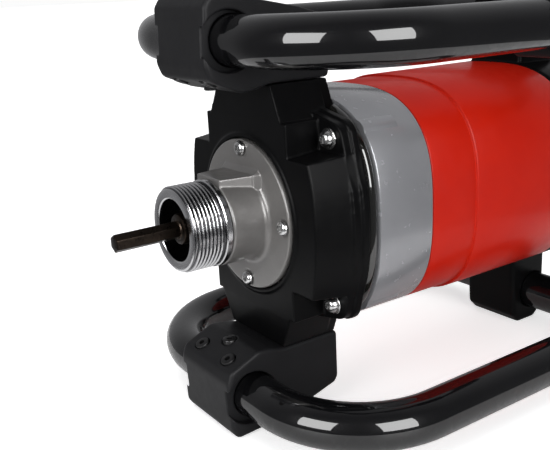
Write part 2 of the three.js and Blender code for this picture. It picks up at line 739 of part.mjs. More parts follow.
function frontBracket() {
  const shape = shapeOf([
    [-40, 69.3], [-4, 69.3], [3, 67.4], [10, 66.6], SLOPE[0], SLOPE[1], [31, 77], [31.6, 84],
    [30.4, 107], [27, ARM_END], [9, 110.8], [-23, 104.6], [-38, 100.4], [-40, 98],
  ]);
  const body = prismY(shape, -BRACKET_HALF, BRACKET_HALF, 1.6);
  const bore = tubeBore(70, BAR_X, BAR_Z);
  const slot = new THREE.Shape();
  slot.absarc(BAR_X, BAR_Z, 14.4, -Math.PI / 2, Math.PI / 2, false);
  slot.absarc(BAR_X - 8, BAR_Z, 14.4, Math.PI / 2, 1.5 * Math.PI, false);
  const recesses = [BRACKET_HALF, -BRACKET_HALF].map((y) => prismY(slot, y - 4, y + 4));
  const wells = CLAMP_SCREWS.map(({ at, out }) => aimed(
    join(rod(4.3, -2.2, 6, 12), rod(2.4, -14, 1, 8)), at, out));
  return cut(body, bore, ...recesses, ...wells);
}

const clampScrew = ({ at, out }) => aimed(socketScrew(3.9, 2.8, 2, 6.5, 3), [
  at[0] - out[0] * 2, at[1], at[2] - out[1] * 2], out);

// ---------------------------------------------------------------- build
add('output_shaft', outputShaft(), 'darkSteel');
add('threaded_nose', threadedNose(), 'machined');
add('flange', flange(), 'casting');
quarterTurns(socketScrew(4, 2.4, 2, 8, 3).translate([0.1, 0, FLANGE_SCREW_R]))
  .forEach((screw, i) => add(`flange_screw_${i + 1}`, screw, 'zinc'));

add('gearbox_cover', gearboxCover(), 'cover');
cornerPoints().forEach(([y, z], i) => {
  const washer = ring(2.8, 5.4, EAR_X + 0.1, EAR_X + 1.2, 16, y, z);
  const screw = socketScrew(4.4, 3.6, 2.5, 30, 4).translate([EAR_X + 1.3, y, z]);
  add(`cover_washer_${i + 1}`, washer, 'zinc');
  add(`cover_screw_${i + 1}`, screw, 'zinc');
});
add('gearbox_plate', gearboxPlate(), 'plate');
add('output_gear', geared(spur(LARGE_TEETH, -22.5, -15.5, HUB_R + 0.2, 0, true)), 'steel');
add('output_bearing_front', pillowRing(9, 17.4, HUB_R + 0.3, 2), 'bearing');
add('output_bearing_rear', pillowRing(9, 17.4, HUB_R + 0.3, -13.6), 'bearing');
add('oil_seal', pillowRing(5, NOSE_BORE - 0.3, HUB_R + 0.3, 13, 0, 20), 'seal');
add('layshaft', geared(join(
  rod(4, -36.6, -6.5, 16, LAY_Y),
  spur(SMALL_TEETH, -23.5, -14.5, 0, LAY_Y, false),
)), 'steel');
add('lay_gear', geared(spur(LARGE_TEETH, -31.2, -25.7, 4.2, LAY_Y, false)), 'steel');
add('lay_bearing_front', geared(pillowRing(4.8, LAY_BEARING_R, 4.2, -11.2, LAY_Y, 16)), 'bearing');
add('lay_bearing_rear', geared(pillowRing(4, LAY_BEARING_R, 4.2, -36.7, LAY_Y, 16)), 'bearing');

add('motor_band', motorBand(), 'band');
add('motor_housing', motorHousing(), 'red');
add('rotor_shaft', rotorShaft(), 'steel');
add('rotor_core', ring(6.4, 27, -148, -84, 28), 'laminate');
add('fan', fan(), 'fan');
add('motor_bearing_front', pillowRing(9, 14, 6.3, -47.8), 'bearing');
add('motor_bearing_rear', pillowRing(8, 11, 5.3, -203), 'bearing');
add('stator_core', statorCore(), 'laminate');
add('stator_coils', statorCoils(), 'copper');

add('rear_cap', rearCap(), 'cover');
cornerPoints().forEach(([y, z], i) => {
  const screw = socketScrew(4.4, 3.6, 2.2, 38, 4).rotate([0, 0, 180]);
  add(`rear_cap_screw_${i + 1}`, screw.translate([CAP_X[0] + 6.7, y, z]), 'blackScrew');
});
add('controller', roundedX(CAP_X[0] + 6, CAP_X[0] + 12, -34, 34, -30, 30, 3, 0), 'board');

const bracket = frontBracket();
add('front_bracket_upper', bracket, 'bracket');
add('front_bracket_lower', mirrorZ(bracket), 'bracket');
CLAMP_SCREWS.forEach((place, i) => {
  const screw = clampScrew(place);
  add(`clamp_screw_upper_${i + 1}`, screw, 'blackScrew');
  add(`clamp_screw_lower_${i + 1}`, mirrorZ(screw), 'blackScrew');
});
add('handle_loop_upper', handleLoop(BAR_Z), 'tube');
add('handle_loop_lower', handleLoop(-BAR_Z), 'tube');

add('battery_pack', batteryPack(), 'pack');
add('battery_latch', batteryLatch(), 'accent');
add('switch_pod', switchPod(), 'pod');
add('switch_clamp', switchClamp(), 'pod');
add('trigger', trigger(), 'accent');
add('trigger_pin', uprightRod(1.5, ...PIVOT, BAR_Z - 10.5, BAR_Z + 10.5, 10), 'zinc');
add('lock_button', lockButton(), 'accent');
add('direction_slider', directionSlider(), 'accent');

export default head;
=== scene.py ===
import json
import math

import bmesh
import bpy
from mathutils import Matrix, Vector


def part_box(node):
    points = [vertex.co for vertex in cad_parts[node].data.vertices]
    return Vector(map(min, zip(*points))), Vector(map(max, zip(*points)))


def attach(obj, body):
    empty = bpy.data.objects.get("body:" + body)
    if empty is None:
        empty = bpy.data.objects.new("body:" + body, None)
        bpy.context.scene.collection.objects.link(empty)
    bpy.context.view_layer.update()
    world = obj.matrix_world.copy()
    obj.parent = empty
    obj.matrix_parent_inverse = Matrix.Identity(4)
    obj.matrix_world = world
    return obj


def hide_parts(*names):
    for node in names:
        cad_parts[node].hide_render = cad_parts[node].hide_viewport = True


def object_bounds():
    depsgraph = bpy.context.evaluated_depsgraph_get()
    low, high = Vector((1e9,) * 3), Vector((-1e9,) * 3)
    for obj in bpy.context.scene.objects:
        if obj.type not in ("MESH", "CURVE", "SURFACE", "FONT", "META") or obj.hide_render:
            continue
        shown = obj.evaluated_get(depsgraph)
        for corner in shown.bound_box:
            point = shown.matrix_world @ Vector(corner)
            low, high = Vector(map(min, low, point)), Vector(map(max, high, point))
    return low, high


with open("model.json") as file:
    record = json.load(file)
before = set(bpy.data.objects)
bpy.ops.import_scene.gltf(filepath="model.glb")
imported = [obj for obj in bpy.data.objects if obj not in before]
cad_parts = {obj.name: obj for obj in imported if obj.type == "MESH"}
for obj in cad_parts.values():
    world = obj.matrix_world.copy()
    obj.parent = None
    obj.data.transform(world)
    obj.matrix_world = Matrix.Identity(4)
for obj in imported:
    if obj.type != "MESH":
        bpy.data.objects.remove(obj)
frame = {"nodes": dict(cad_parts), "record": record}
cad_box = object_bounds()

# ---------------------------------------------------------------- the frame
# Shapes are drawn in millimetres.  Stations along X are counted from the
# flange face, as the object is dimensioned; solid() moves them into the frame.
MM = 0.001
BOSS_FRONT = 20.5
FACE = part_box("flange")[1][0] / MM - BOSS_FRONT

SLOT = {part["node"]: part["material_slot"] for part in frame["record"]["subparts"]}
BODY = {
    node: body
    for body, nodes in frame["record"]["behaviour"]["bodies"].items()
    for node in nodes
}


def extent(node):
    """Lowest and highest corner of a node, in millimetres from the flange face."""
    low, high = (Vector(corner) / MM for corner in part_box(node))
    low.x -= FACE
    high.x -= FACE
    return low, high


def middle(node):
    """The centre of a CAD node, measured like extent()."""
    return tuple((a + b) / 2 for a, b in zip(*extent(node)))


# ---------------------------------------------------------------- dimensions
# The flange: disc, boss, the flat pad on top of the boss, circle of the screws.
DISC_R = extent("flange")[1].z
DISC_T = 4.8
BOSS_R = 22.9
PAD_HALF = (15.5, 11.0)
PAD_TOP = 23.8
FLANGE_SCREW_R = 35.4

# The output side.
NOSE_FRONT = extent("threaded_nose")[1].x
THREAD_PITCH = 2.1
THREAD_R = 22.2
THREAD_DEPTH = 1.25
HUB_FRONT = 40.0
HUB_R = 8.0
HEX_AF = 8.0

# The gearbox cover from front to back, and the plate behind it.
COVER_FACE = -2.6
EAR_X = -22.5
RIM_X = -27.5
COVER_REAR = -31.7
PLATE_REAR = -38.0
LOBE_R = 9.4
SHOULDER = 51.0
NECK_TOP = 69.0
CORNER = (45.8, 42.6)
CORNERS = [(y, z) for y in (-CORNER[0], CORNER[0]) for z in (-CORNER[1], CORNER[1])]
CORNER_HOLE = 2.9
LAY_ANGLE = math.radians(15)
LAY_Y, LAY_Z = -30 * math.cos(LAY_ANGLE), -30 * math.sin(LAY_ANGLE)
LAY_SEAT = 7.8

# The motor: a cushion outline, the step in it and the wall.
SKIN = {"a": extent("motor_housing")[1].y, "b": extent("motor_housing")[1].z, "n": 2.8}
NARROW = extent("motor_housing")[1].z - extent("motor_band")[1].z
COLLAR_END = -106.0
WALL = 4.2
CAP_REAR = -224.0
EDGE = 0.7

# The handle loops and what grips them.
TUBE_R = 12.0
BAR_Z = (extent("handle_loop_upper")[0].z + extent("handle_loop_upper")[1].z) / 2
BAR_X = extent("handle_loop_upper")[1].x - TUBE_R
REAR_BAR_X = -213.0
SIDE_Y = 96.0
POD_SCREW_Y = SIDE_Y - 18.2
PIN_HOLE = 1.8
FRONT_BEND = 57.0
REAR_BEND = 42.0
CLEAR = 0.3
CLAMP_R = TUBE_R + CLEAR


# ---------------------------------------------------------------- outlines
def superellipse(inset=0.0, a=SKIN["a"], b=SKIN["b"], n=SKIN["n"], count=160):
    points = []
    for i in range(count):
        angle = (i + 0.5) / count * 2 * math.pi
        c, s = math.cos(angle), math.sin(angle)
        points.append((
            math.copysign((a - inset) * abs(c) ** (2 / n), c),
            math.copysign((b - inset) * abs(s) ** (2 / n), s),
        ))
    return points


def rounded(corners, radius, steps=6):
    """A polygon with each corner replaced by an arc; radius is one number or one per corner."""
    radii = radius if isinstance(radius, (list, tuple)) else [radius] * len(corners)
    outline = []
    for i, corner in enumerate(corners):
        here = Vector(corner)
        before = Vector(corners[i - 1]) - here
        after = Vector(corners[(i + 1) % len(corners)]) - here
        angle = before.angle(after)
        reach = radii[i] / math.tan(angle / 2)
        reach = min(reach, before.length * 0.48, after.length * 0.48)
        if radii[i] <= 0 or angle > math.pi - 0.02:
            outline.append(tuple(here))
            continue
        start = here + before.normalized() * reach
        end = here + after.normalized() * reach
        for k in range(steps + 1):
            t = k / steps
            point = start.lerp(here, t).lerp(here.lerp(end, t), t)
            outline.append(tuple(point))
    return outline


def rectangle(u0, u1, v0, v1, radius, steps=8):
    return rounded([(u0, v0), (u1, v0), (u1, v1), (u0, v1)], radius, steps)


def circle(radius, u=0.0, v=0.0, count=48):
    points = []
    for k in range(count):
        angle = k / count * 2 * math.pi
        points.append((u + radius * math.cos(angle), v + radius * math.sin(angle)))
    return points


def inset_outline(outline, distance):
    if abs(distance) < 1e-6:
        return list(outline)
    area = sum(
        a[0] * b[1] - b[0] * a[1]
        for a, b in zip(outline, outline[1:] + outline[:1])
    )
    side = 1 if area > 0 else -1
    moved = []
    for i, point in enumerate(outline):
        here = Vector(point)
        before = (here - Vector(outline[i - 1])).normalized()
        after = (Vector(outline[(i + 1) % len(outline)]) - here).normalized()
        tangent = (before + after).normalized()
        normal = Vector((-tangent.y, tangent.x)) * side
        lean = max(0.5, abs(tangent.dot(after)))
        moved.append(tuple(here + normal * distance / lean))
    return moved


def arc(cx, cr, radius, start, end, steps=6):
    """Points of an arc in a turned profile, angles in degrees, as (x, r)."""
    points = []
    for k in range(steps + 1):
        angle = math.radians(start + (end - start) * k / steps)
        points.append((cx + radius * math.cos(angle), cr + radius * math.sin(angle)))
    return points


# ---------------------------------------------------------------- solids
def solid(points, faces, name="shape"):
    mesh = bpy.data.meshes.new(name)
    mesh.from_pydata([((x + FACE) * MM, y * MM, z * MM) for x, y, z in points], [], faces)
    work = bmesh.new()
    work.from_mesh(mesh)
    bmesh.ops.remove_doubles(work, verts=work.verts, dist=1e-7)
    bmesh.ops.recalc_face_normals(work, faces=work.faces)
    work.to_mesh(mesh)
    work.free()
    shape = bpy.data.objects.new(name, mesh)
    bpy.context.scene.collection.objects.link(shape)
    return shape


def loft(rings, ends=True, around=False):
    """A skin through rings of equal length; `around` joins the last ring to the first."""
    count = len(rings[0])
    points = [point for ring in rings for point in ring]
    faces = []
    pairs = len(rings) if around else len(rings) - 1
    for r in range(pairs):
        a = r * count
        b = (r + 1) % len(rings) * count
        for i in range(count):
            j = (i + 1) % count
            faces.append((a + i, a + j, b + j, b + i))
    if ends and not around:
        faces.append(tuple(range(count)))
        faces.append(tuple((len(rings) - 1) * count + i for i in reversed(range(count))))
    return solid(points, faces)


def placed(axis, u, v, w):
    return {"X": (w, u, v), "Y": (u, w, v), "Z": (u, v, w)}[axis]


def prism(outline, low, high, axis="X", edge=0.0, steps=4):
    """An outline pushed along an axis, with both rims rounded by `edge`."""
    stations = []
    for k in range(steps + 1 if edge > 0 else 1):
        angle = k / steps * math.pi / 2
        stations.append((edge * (1 - math.sin(angle)), edge * (1 - math.cos(angle))))
    sections = [(low + depth, draw) for draw, depth in stations]
    sections += [(high - depth, draw) for draw, depth in reversed(stations)]
    rings = []
    for station, draw in sections:
        rings.append([placed(axis, u, v, station) for u, v in inset_outline(outline, draw)])
    return loft(rings)


def box(x0, x1, y0, y1, z0, z1):
    return prism([(y0, z0), (y1, z0), (y1, z1), (y0, z1)], x0, x1)


def turned(profile, segments=144, y=0.0, z=0.0):
    """A profile of (x, r) turned about a line parallel to X."""
    closed = profile[0][1] > 0 or profile[-1][1] > 0
    points, rings, faces = [], [], []
    for x, r in profile:
        spots = circle(r, y, z, segments) if r > 0 else [(y, z)]
        rings.append(range(len(points), len(points) + len(spots)))
        points += [(x, v, w) for v, w in spots]
    pairs = list(zip(rings, rings[1:]))
    if closed:
        pairs.append((rings[-1], rings[0]))
    for a, b in pairs:
        for i in range(segments):
            j = (i + 1) % segments
            quad = [a[i % len(a)], a[j % len(a)], b[j % len(b)], b[i % len(b)]]
            faces.append(tuple(dict.fromkeys(quad)))
    return solid(points, faces)


def rod(radius, x0, x1, segments=48, y=0.0, z=0.0, edge=0.0):
    if edge <= 0:
        return turned([(x0, 0), (x0, radius), (x1, radius), (x1, 0)], segments, y, z)
    profile = [(x0, 0)]
    profile += arc(x0 + edge, radius - edge, edge, 180, 90, 4)
    profile += arc(x1 - edge, radius - edge, edge, 90, 0, 4)
    profile += [(x1, 0)]
    return turned(profile, segments, y, z)


def ring(inner, outer, x0, x1, segments=96, y=0.0, z=0.0, edge=0.2):
    profile = arc(x0 + edge, outer - edge, edge, 180, 90, 3)
    profile += arc(x1 - edge, outer - edge, edge, 90, 0, 3)
    profile += arc(x1 - edge, inner + edge, edge, 0, -90, 3)
    profile += arc(x0 + edge, inner + edge, edge, -90, -180, 3)
    return turned(profile, segments, y, z)


def hull(points):
    shape = solid(points, [])
    work = bmesh.new()
    work.from_mesh(shape.data)
    made = bmesh.ops.convex_hull(work, input=work.verts)
    spare = [item for item in made["geom_interior"] if isinstance(item, bmesh.types.BMVert)]
    bmesh.ops.delete(work, geom=spare, context="VERTS")
    bmesh.ops.recalc_face_normals(work, faces=work.faces)
    work.to_mesh(shape.data)
    work.free()
    return shape


def turn(shape, degrees, axis="X"):
    """Turns a shape about an axis through the frame's origin."""
    shape.data.transform(Matrix.Rotation(math.radians(degrees), 4, axis))
    return shape


def move(shape, x, y, z):
    shape.data.transform(Matrix.Translation(Vector((x, y, z)) * MM))
    return shape


def flipped(shape):
    """The same shape mirrored to the other side of the XY plane."""
    twin = bpy.data.objects.new("shape", shape.data.copy())
    bpy.context.scene.collection.objects.link(twin)
    twin.data.transform(Matrix.Scale(-1, 4, (0, 0, 1)))
    twin.data.flip_normals()
    return twin


def drop(shape):
    mesh = shape.data
    bpy.data.objects.remove(shape)
    bpy.data.meshes.remove(mesh)


def bake(shape):
    """Replaces a shape's mesh with what its modifiers make of it."""
    bpy.context.view_layer.update()
    graph = bpy.context.evaluated_depsgraph_get()
    made = bpy.data.meshes.new_from_object(shape.evaluated_get(graph))
    old = shape.data
    shape.modifiers.clear()
    shape.data = made
    bpy.data.meshes.remove(old)
    return shape


def combine(base, tools, operation):
    for tool in tools:
        step = base.modifiers.new("step", "BOOLEAN")
        step.object = tool
        step.operation = operation
        step.solver = "EXACT"
    bake(base)
    for tool in tools:
        drop(tool)
    return base


def cut(base, *tools):
    return combine(base, tools, "DIFFERENCE")


def union(base, *others):
    return combine(base, others, "UNION")


def fuse(*shapes):
    """Several closed shapes in one mesh."""
    work = bmesh.new()
    for shape in shapes:
        work.from_mesh(shape.data)
    base = shapes[0]
    work.to_mesh(base.data)
    work.free()
    for shape in shapes[1:]:
        drop(shape)
    return base


def mould(shape, grain=0.6, passes=4, keep=0.3):
    """Re-skins a shape as one casting: every edge and corner comes out rounded."""
    skin = shape.modifiers.new("skin", "REMESH")
    skin.mode = "VOXEL"
    skin.voxel_size = grain * MM
    ease = shape.modifiers.new("ease", "SMOOTH")
    ease.factor = 0.5
    ease.iterations = passes
    thin = shape.modifiers.new("thin", "DECIMATE")
    thin.ratio = keep
    return bake(shape)


def smooth(shape, degrees=35):
    shape.data.polygons.foreach_set("use_smooth", [True] * len(shape.data.polygons))
    shape.data.set_sharp_from_angle(angle=math.radians(degrees))
    return shape


# ---------------------------------------------------------------- finishes
# A Mix node has a socket of each kind; these are its colour ones.
MIX_FIRST, MIX_SECOND, MIX_RESULT = 6, 7, 2


class Finish:
    """A procedural material on object coordinates, sizes in millimetres."""

    def __init__(self, name, colour, roughness, metallic=0.0, **sockets):
        self.material = bpy.data.materials.new(name)
        self.material.use_nodes = True
        self.tree = self.material.node_tree
        self.shader = self.tree.nodes["Principled BSDF"]
        self.shader.inputs["Metallic"].default_value = metallic
        for socket, value in sockets.items():
            self.shader.inputs[socket.replace("_", " ")].default_value = value
        self.place = self.node("ShaderNodeTexCoord").outputs["Object"]
        self.colour = colour
        self.roughness = roughness
        self.bumps = []

    def node(self, kind, **settings):
        made = self.tree.nodes.new(kind)
        for key, value in settings.items():
            setattr(made, key, value)
        return made

    def link(self, source, target):
        self.tree.links.new(source, target)

    def feed(self, value, socket):
        """Links what a node makes, or sets a plain colour or number."""
        if isinstance(value, bpy.types.NodeSocket):
            self.link(value, socket)
        else:
            socket.default_value = (*value, 1) if isinstance(value, tuple) else value

    def stretched(self, stretch):
        mapping = self.node("ShaderNodeMapping")
        mapping.inputs["Scale"].default_value = stretch
        self.link(self.place, mapping.inputs["Vector"])
        return mapping.outputs["Vector"]

    def noise(self, size, detail=3.0, stretch=(1, 1, 1), rough=0.55):
        made = self.node("ShaderNodeTexNoise")
        made.inputs["Scale"].default_value = 1 / (size * MM)
        made.inputs["Detail"].default_value = detail
        made.inputs["Roughness"].default_value = rough
        self.link(self.stretched(stretch), made.inputs["Vector"])
        return made.outputs["Fac"]

    def speckle(self, size):
        made = self.node("ShaderNodeTexVoronoi")
        made.inputs["Scale"].default_value = 1 / (size * MM)
        self.link(self.place, made.inputs["Vector"])
        return made.outputs["Distance"]

    def bands(self, size, axis="X", distortion=0.0):
        made = self.node("ShaderNodeTexWave", bands_direction=axis)
        made.inputs["Scale"].default_value = 1 / (size * MM) * 0.05
        made.inputs["Distortion"].default_value = distortion
        self.link(self.place, made.inputs["Vector"])
        return made.outputs["Fac"]

    def spread(self, source, low, high, start=0.3, end=0.7):
        made = self.node("ShaderNodeMapRange")
        made.inputs["From Min"].default_value = start
        made.inputs["From Max"].default_value = end
        made.inputs["To Min"].default_value = low
        made.inputs["To Max"].default_value = high
        self.link(source, made.inputs["Value"])
        return made.outputs["Result"]

    def product(self, a, b):
        made = self.node("ShaderNodeMath", operation="MULTIPLY")
        self.link(a, made.inputs[0])
        self.link(b, made.inputs[1])
        return made.outputs[0]

    def tint(self, source, colour, share):
        """Mixes a second colour in where the source is high."""
        made = self.node("ShaderNodeMix", data_type="RGBA")
        self.link(self.spread(source, 0.0, share), made.inputs["Factor"])
        self.feed(self.colour, made.inputs[MIX_FIRST])
        self.feed(colour, made.inputs[MIX_SECOND])
        self.colour = made.outputs[MIX_RESULT]
        return self

    def gloss(self, source, low, high, start=0.3, end=0.7):
        self.roughness = self.spread(source, low, high, start, end)
        return self

    def relief(self, source, height):
        self.bumps.append((source, height))
        return self

    def edges(self, radius, samples=6):
        """High along edges, broken up by a little noise."""
        bevel = self.node("ShaderNodeBevel", samples=samples)
        bevel.inputs["Radius"].default_value = radius * MM
        true = self.node("ShaderNodeNewGeometry").outputs["Normal"]
        dot = self.node("ShaderNodeVectorMath", operation="DOT_PRODUCT")
        self.link(bevel.outputs["Normal"], dot.inputs[0])
        self.link(true, dot.inputs[1])
        mask = self.spread(dot.outputs["Value"], 1.0, 0.0, 0.9, 0.995)
        return self.product(mask, self.noise(2.5, 4))

    def done(self):
        self.feed(self.colour, self.shader.inputs["Base Color"])
        self.feed(self.roughness, self.shader.inputs["Roughness"])
        normal = None
        for source, height in self.bumps:
            bump = self.node("ShaderNodeBump")
            bump.inputs["Strength"].default_value = 1.0
            bump.inputs["Distance"].default_value = height * MM
            self.link(source, bump.inputs["Height"])
            if normal is not None:
                self.link(normal, bump.inputs["Normal"])
            normal = bump.outputs["Normal"]
        if normal is not None:
            self.link(normal, self.shader.inputs["Normal"])
        return self.material


def textured_plastic(name, colour, sheen, grain=0.35, height=0.007, wear_and_edge_highlight=0.3):
    """Moulded plastic with a fine spark-eroded grain; edges lightened as wear and as a painted edge
    highlight.
    """
    f = Finish(name, colour, sheen, Specular_IOR_Level=0.12)
    f.tint(f.noise(18, 2), tuple(c * 1.35 + 0.001 for c in colour), 0.4)
    # Lighter edges: partly wear, partly a painted highlight where the edges catch the light.
    f.tint(f.edges(1.2), tuple(c * 2.4 + 0.008 for c in colour), wear_and_edge_highlight)
    f.gloss(f.noise(5.0, 3), sheen - 0.03, sheen + 0.04)
    f.relief(f.noise(grain, 2, rough=0.7), height)
    f.relief(f.speckle(grain * 1.7), height * 0.6)
    return f.done()


def satin_cover(name):
    """Powder-coated die casting, smoother than the plastic."""
    f = Finish(name, (0.0026, 0.0026, 0.0028), 0.34, Specular_IOR_Level=0.07)
    f.tint(f.noise(24, 2), (0.0045, 0.0045, 0.005), 0.5)
    # Lighter edges: a painted sheen along the edges, partly also wear.
    f.tint(f.edges(0.9), (0.045, 0.046, 0.05), 0.5)
    f.gloss(f.noise(6.0, 3), 0.3, 0.38)
    f.relief(f.noise(0.9, 2), 0.004)
    f.relief(f.noise(11, 2), 0.03)
    return f.done()


def gloss_tube(name):
    """Black enamel on bent tube."""
    f = Finish(
        name, (0.0025, 0.0025, 0.003), 0.28, Specular_IOR_Level=0.05,
        Coat_Weight=0.85, Coat_Roughness=0.03, Coat_IOR=1.6,
    )
    f.tint(f.noise(30, 2), (0.005, 0.005, 0.0055), 0.6)
    f.gloss(f.noise(7.0, 5), 0.24, 0.32)
    f.relief(f.noise(5.5, 2), 0.009)
    f.relief(f.noise(0.6, 2), 0.0004)
    return f.done()


def gloss_plate(name):
    f = Finish(name, (0.005, 0.0052, 0.005), 0.07, Coat_Weight=1.0, Coat_Roughness=0.03)
    f.tint(f.noise(18, 2), (0.012, 0.011, 0.008), 0.6)
    f.gloss(f.noise(4.0, 4), 0.04, 0.13)
    f.relief(f.noise(2.2, 3, stretch=(0.4, 1, 1)), 0.012)
    return f.done()


def band_paint(name):
    """Silver-grey metallic lacquer."""
    f = Finish(name, (0.235, 0.238, 0.252), 0.24, 0.3, Coat_Weight=0.4, Coat_Roughness=0.07)
    f.tint(f.noise(26, 3), (0.27, 0.273, 0.287), 0.6)
    f.tint(f.noise(0.3, 1), (0.3, 0.3, 0.31), 0.2)
    f.gloss(f.noise(6.0, 4), 0.2, 0.28)
    f.relief(f.noise(9, 2), 0.008)
    return f.done()


def red_paint(name):
    f = Finish(
        name, (0.43, 0.008, 0.0015), 0.36, Specular_IOR_Level=0.12,
        Coat_Weight=0.08, Coat_Roughness=0.1,
    )
    f.tint(f.noise(28, 3), (0.49, 0.012, 0.002), 0.6)
    # Lighter edges: partly wear, partly a painted highlight where the edges catch the light.
    f.tint(f.edges(1.4), (0.6, 0.05, 0.02), 0.35)
    f.gloss(f.noise(6.0, 4), 0.32, 0.42)
    f.relief(f.noise(8, 2), 0.012)
    return f.done()


def painted_casting(name):
    """Grey lacquer over a die casting, faintly pebbled."""
    f = Finish(name, (0.145, 0.14, 0.136), 0.38, 0.3, Coat_Weight=0.4, Coat_Roughness=0.14)
    f.tint(f.noise(16, 4), (0.18, 0.174, 0.168), 0.7)
    f.tint(f.noise(1.6, 3), (0.125, 0.12, 0.117), 0.3)
    # Paler edges: a painted highlight on the bright edge lines, partly also wear.
    f.tint(f.edges(0.9), (0.5, 0.49, 0.48), 0.45)
    f.gloss(f.noise(4.0, 4), 0.31, 0.42)
    f.relief(f.noise(1.1, 3), 0.008)
    f.relief(f.noise(0.3, 2), 0.0015)
    return f.done()


def turned_metal(name):
    """Bright aluminium with the fine rings that a lathe leaves; the thread's roots are darkened with
    painted shade.
    """
    f = Finish(name, (0.62, 0.62, 0.63), 0.2, 1.0)
    f.tint(f.noise(9, 3), (0.52, 0.52, 0.53), 0.5)
    f.tint(f.noise(0.6, 3, stretch=(1, 0.04, 0.04)), (0.5, 0.5, 0.51), 0.35)
    radius = f.node("ShaderNodeVectorMath", operation="LENGTH")
    f.link(f.stretched((0, 1, 1)), radius.inputs[0])
    along = f.node("ShaderNodeSeparateXYZ")
    f.link(f.place, along.inputs[0])
    # Painted shade: the thread's roots, behind the front of the nose, are tinted dark where the
    # grooves fall into shadow.
    low = (THREAD_R - THREAD_DEPTH + 0.15) * MM
    root = f.spread(radius.outputs["Value"], 1.0, 0.0, low, (THREAD_R - 0.2) * MM)
    behind_face = f.spread(along.outputs["X"], 1.0, 0.0, (FACE + 41.5) * MM, (FACE + 42.0) * MM)
    f.tint(f.product(root, behind_face), (0.07, 0.07, 0.075), 0.85)
    f.gloss(f.noise(3.0, 3), 0.16, 0.24)
    f.relief(f.noise(0.6, 2, stretch=(1, 0.04, 0.04)), 0.0006)
    return f.done()


def bright_zinc(name):
    f = Finish(name, (0.7, 0.7, 0.69), 0.2, 1.0)
    f.tint(f.noise(1.4, 4), (0.42, 0.42, 0.44), 0.5)
    f.gloss(f.noise(0.9, 5), 0.14, 0.3)
    f.relief(f.noise(0.7, 3), 0.006)
    return f.done()


def dark_steel(name):
    """Oiled, blackened steel with a brown cast."""
    f = Finish(name, (0.02, 0.015, 0.012), 0.3, 0.9)
    f.tint(f.noise(4.5, 4), (0.05, 0.034, 0.023), 0.5)
    f.tint(f.noise(0.9, 3), (0.011, 0.009, 0.008), 0.4)
    # Lighter brown edges: partly wear, partly a painted glint where the edges catch the light.
    f.tint(f.edges(0.6), (0.24, 0.17, 0.12), 0.55)
    f.gloss(f.noise(2.0, 4), 0.24, 0.38)
    f.relief(f.noise(0.7, 3, stretch=(0.25, 1, 1)), 0.004)
    return f.done()


def black_oxide(name):
    f = Finish(name, (0.022, 0.022, 0.024), 0.4, 0.8)
    f.tint(f.noise(1.8, 4), (0.05, 0.048, 0.046), 0.5)
    f.gloss(f.noise(1.2, 4), 0.32, 0.5)
    f.relief(f.noise(0.4, 3), 0.004)
    return f.done()


def rubber(name):
    f = Finish(name, (0.008, 0.008, 0.008), 0.6)
    f.tint(f.noise(3, 4), (0.02, 0.019, 0.018), 0.5)
    f.gloss(f.noise(1.6, 4), 0.5, 0.72)
    f.relief(f.noise(0.7, 3), 0.02)
    return f.done()


def ground_steel(name, colour, low, high):
    """Cut and ground steel: fine directional scratches, slight stain."""
    f = Finish(name, colour, low, 1.0)
    f.tint(f.noise(5, 4), tuple(c * 0.6 for c in colour), 0.5)
    f.gloss(f.noise(1.5, 5), low, high)
    f.relief(f.noise(0.5, 4, stretch=(0.15, 1, 1)), 0.006)
    return f.done()


def laminations(name):
    """Stacked electrical steel: sheet edges 0.5 mm apart along the shaft."""
    f = Finish(name, (0.17, 0.155, 0.15), 0.5, 0.8)
    sheets = f.bands(1.0)
    f.tint(sheets, (0.07, 0.062, 0.06), 0.8)
    f.tint(f.noise(6, 4), (0.2, 0.13, 0.09), 0.3)
    f.gloss(f.noise(2, 4), 0.42, 0.6)
    f.relief(sheets, 0.05)
    return f.done()


def windings(name):
    """Enamelled copper wire laid side by side."""
    f = Finish(name, (0.4, 0.14, 0.045), 0.3, 0.9, Coat_Weight=0.6, Coat_Roughness=0.12)
    wires = f.bands(2.2, "DIAGONAL", 3.0)
    f.tint(wires, (0.19, 0.055, 0.018), 0.75)
    f.gloss(f.noise(2, 4), 0.24, 0.4)
    f.relief(wires, 0.3)
    return f.done()


def nylon(name):
    f = Finish(name, (0.68, 0.66, 0.6), 0.5, Subsurface_Weight=0.05)
    f.tint(f.noise(9, 4), (0.6, 0.58, 0.5), 0.5)
    f.gloss(f.noise(3, 4), 0.42, 0.58)
    f.relief(f.noise(0.8, 3), 0.012)
    return f.done()


def circuit_board(name):
    """Lacquered board with darker and paler islands of parts and solder."""
    f = Finish(name, (0.014, 0.1, 0.035), 0.4, Coat_Weight=0.4, Coat_Roughness=0.2)
    islands = f.speckle(7)
    f.tint(islands, (0.02, 0.022, 0.024), 0.9)
    f.tint(f.noise(1.2, 2), (0.5, 0.5, 0.46), 0.25)
    f.gloss(f.noise(2, 4), 0.3, 0.5)
    f.relief(islands, 0.4)
    return f.done()


def red_control(name):
    f = Finish(name, (0.42, 0.012, 0.004), 0.42)
    f.tint(f.noise(8, 4), (0.5, 0.02, 0.008), 0.6)
    # Lighter edges: partly wear, partly a painted highlight where the edges catch the light.
    f.tint(f.edges(0.8), (0.6, 0.08, 0.05), 0.4)
    f.gloss(f.noise(2.5, 4), 0.34, 0.5)
    f.relief(f.noise(0.5, 3), 0.012)
    return f.done()


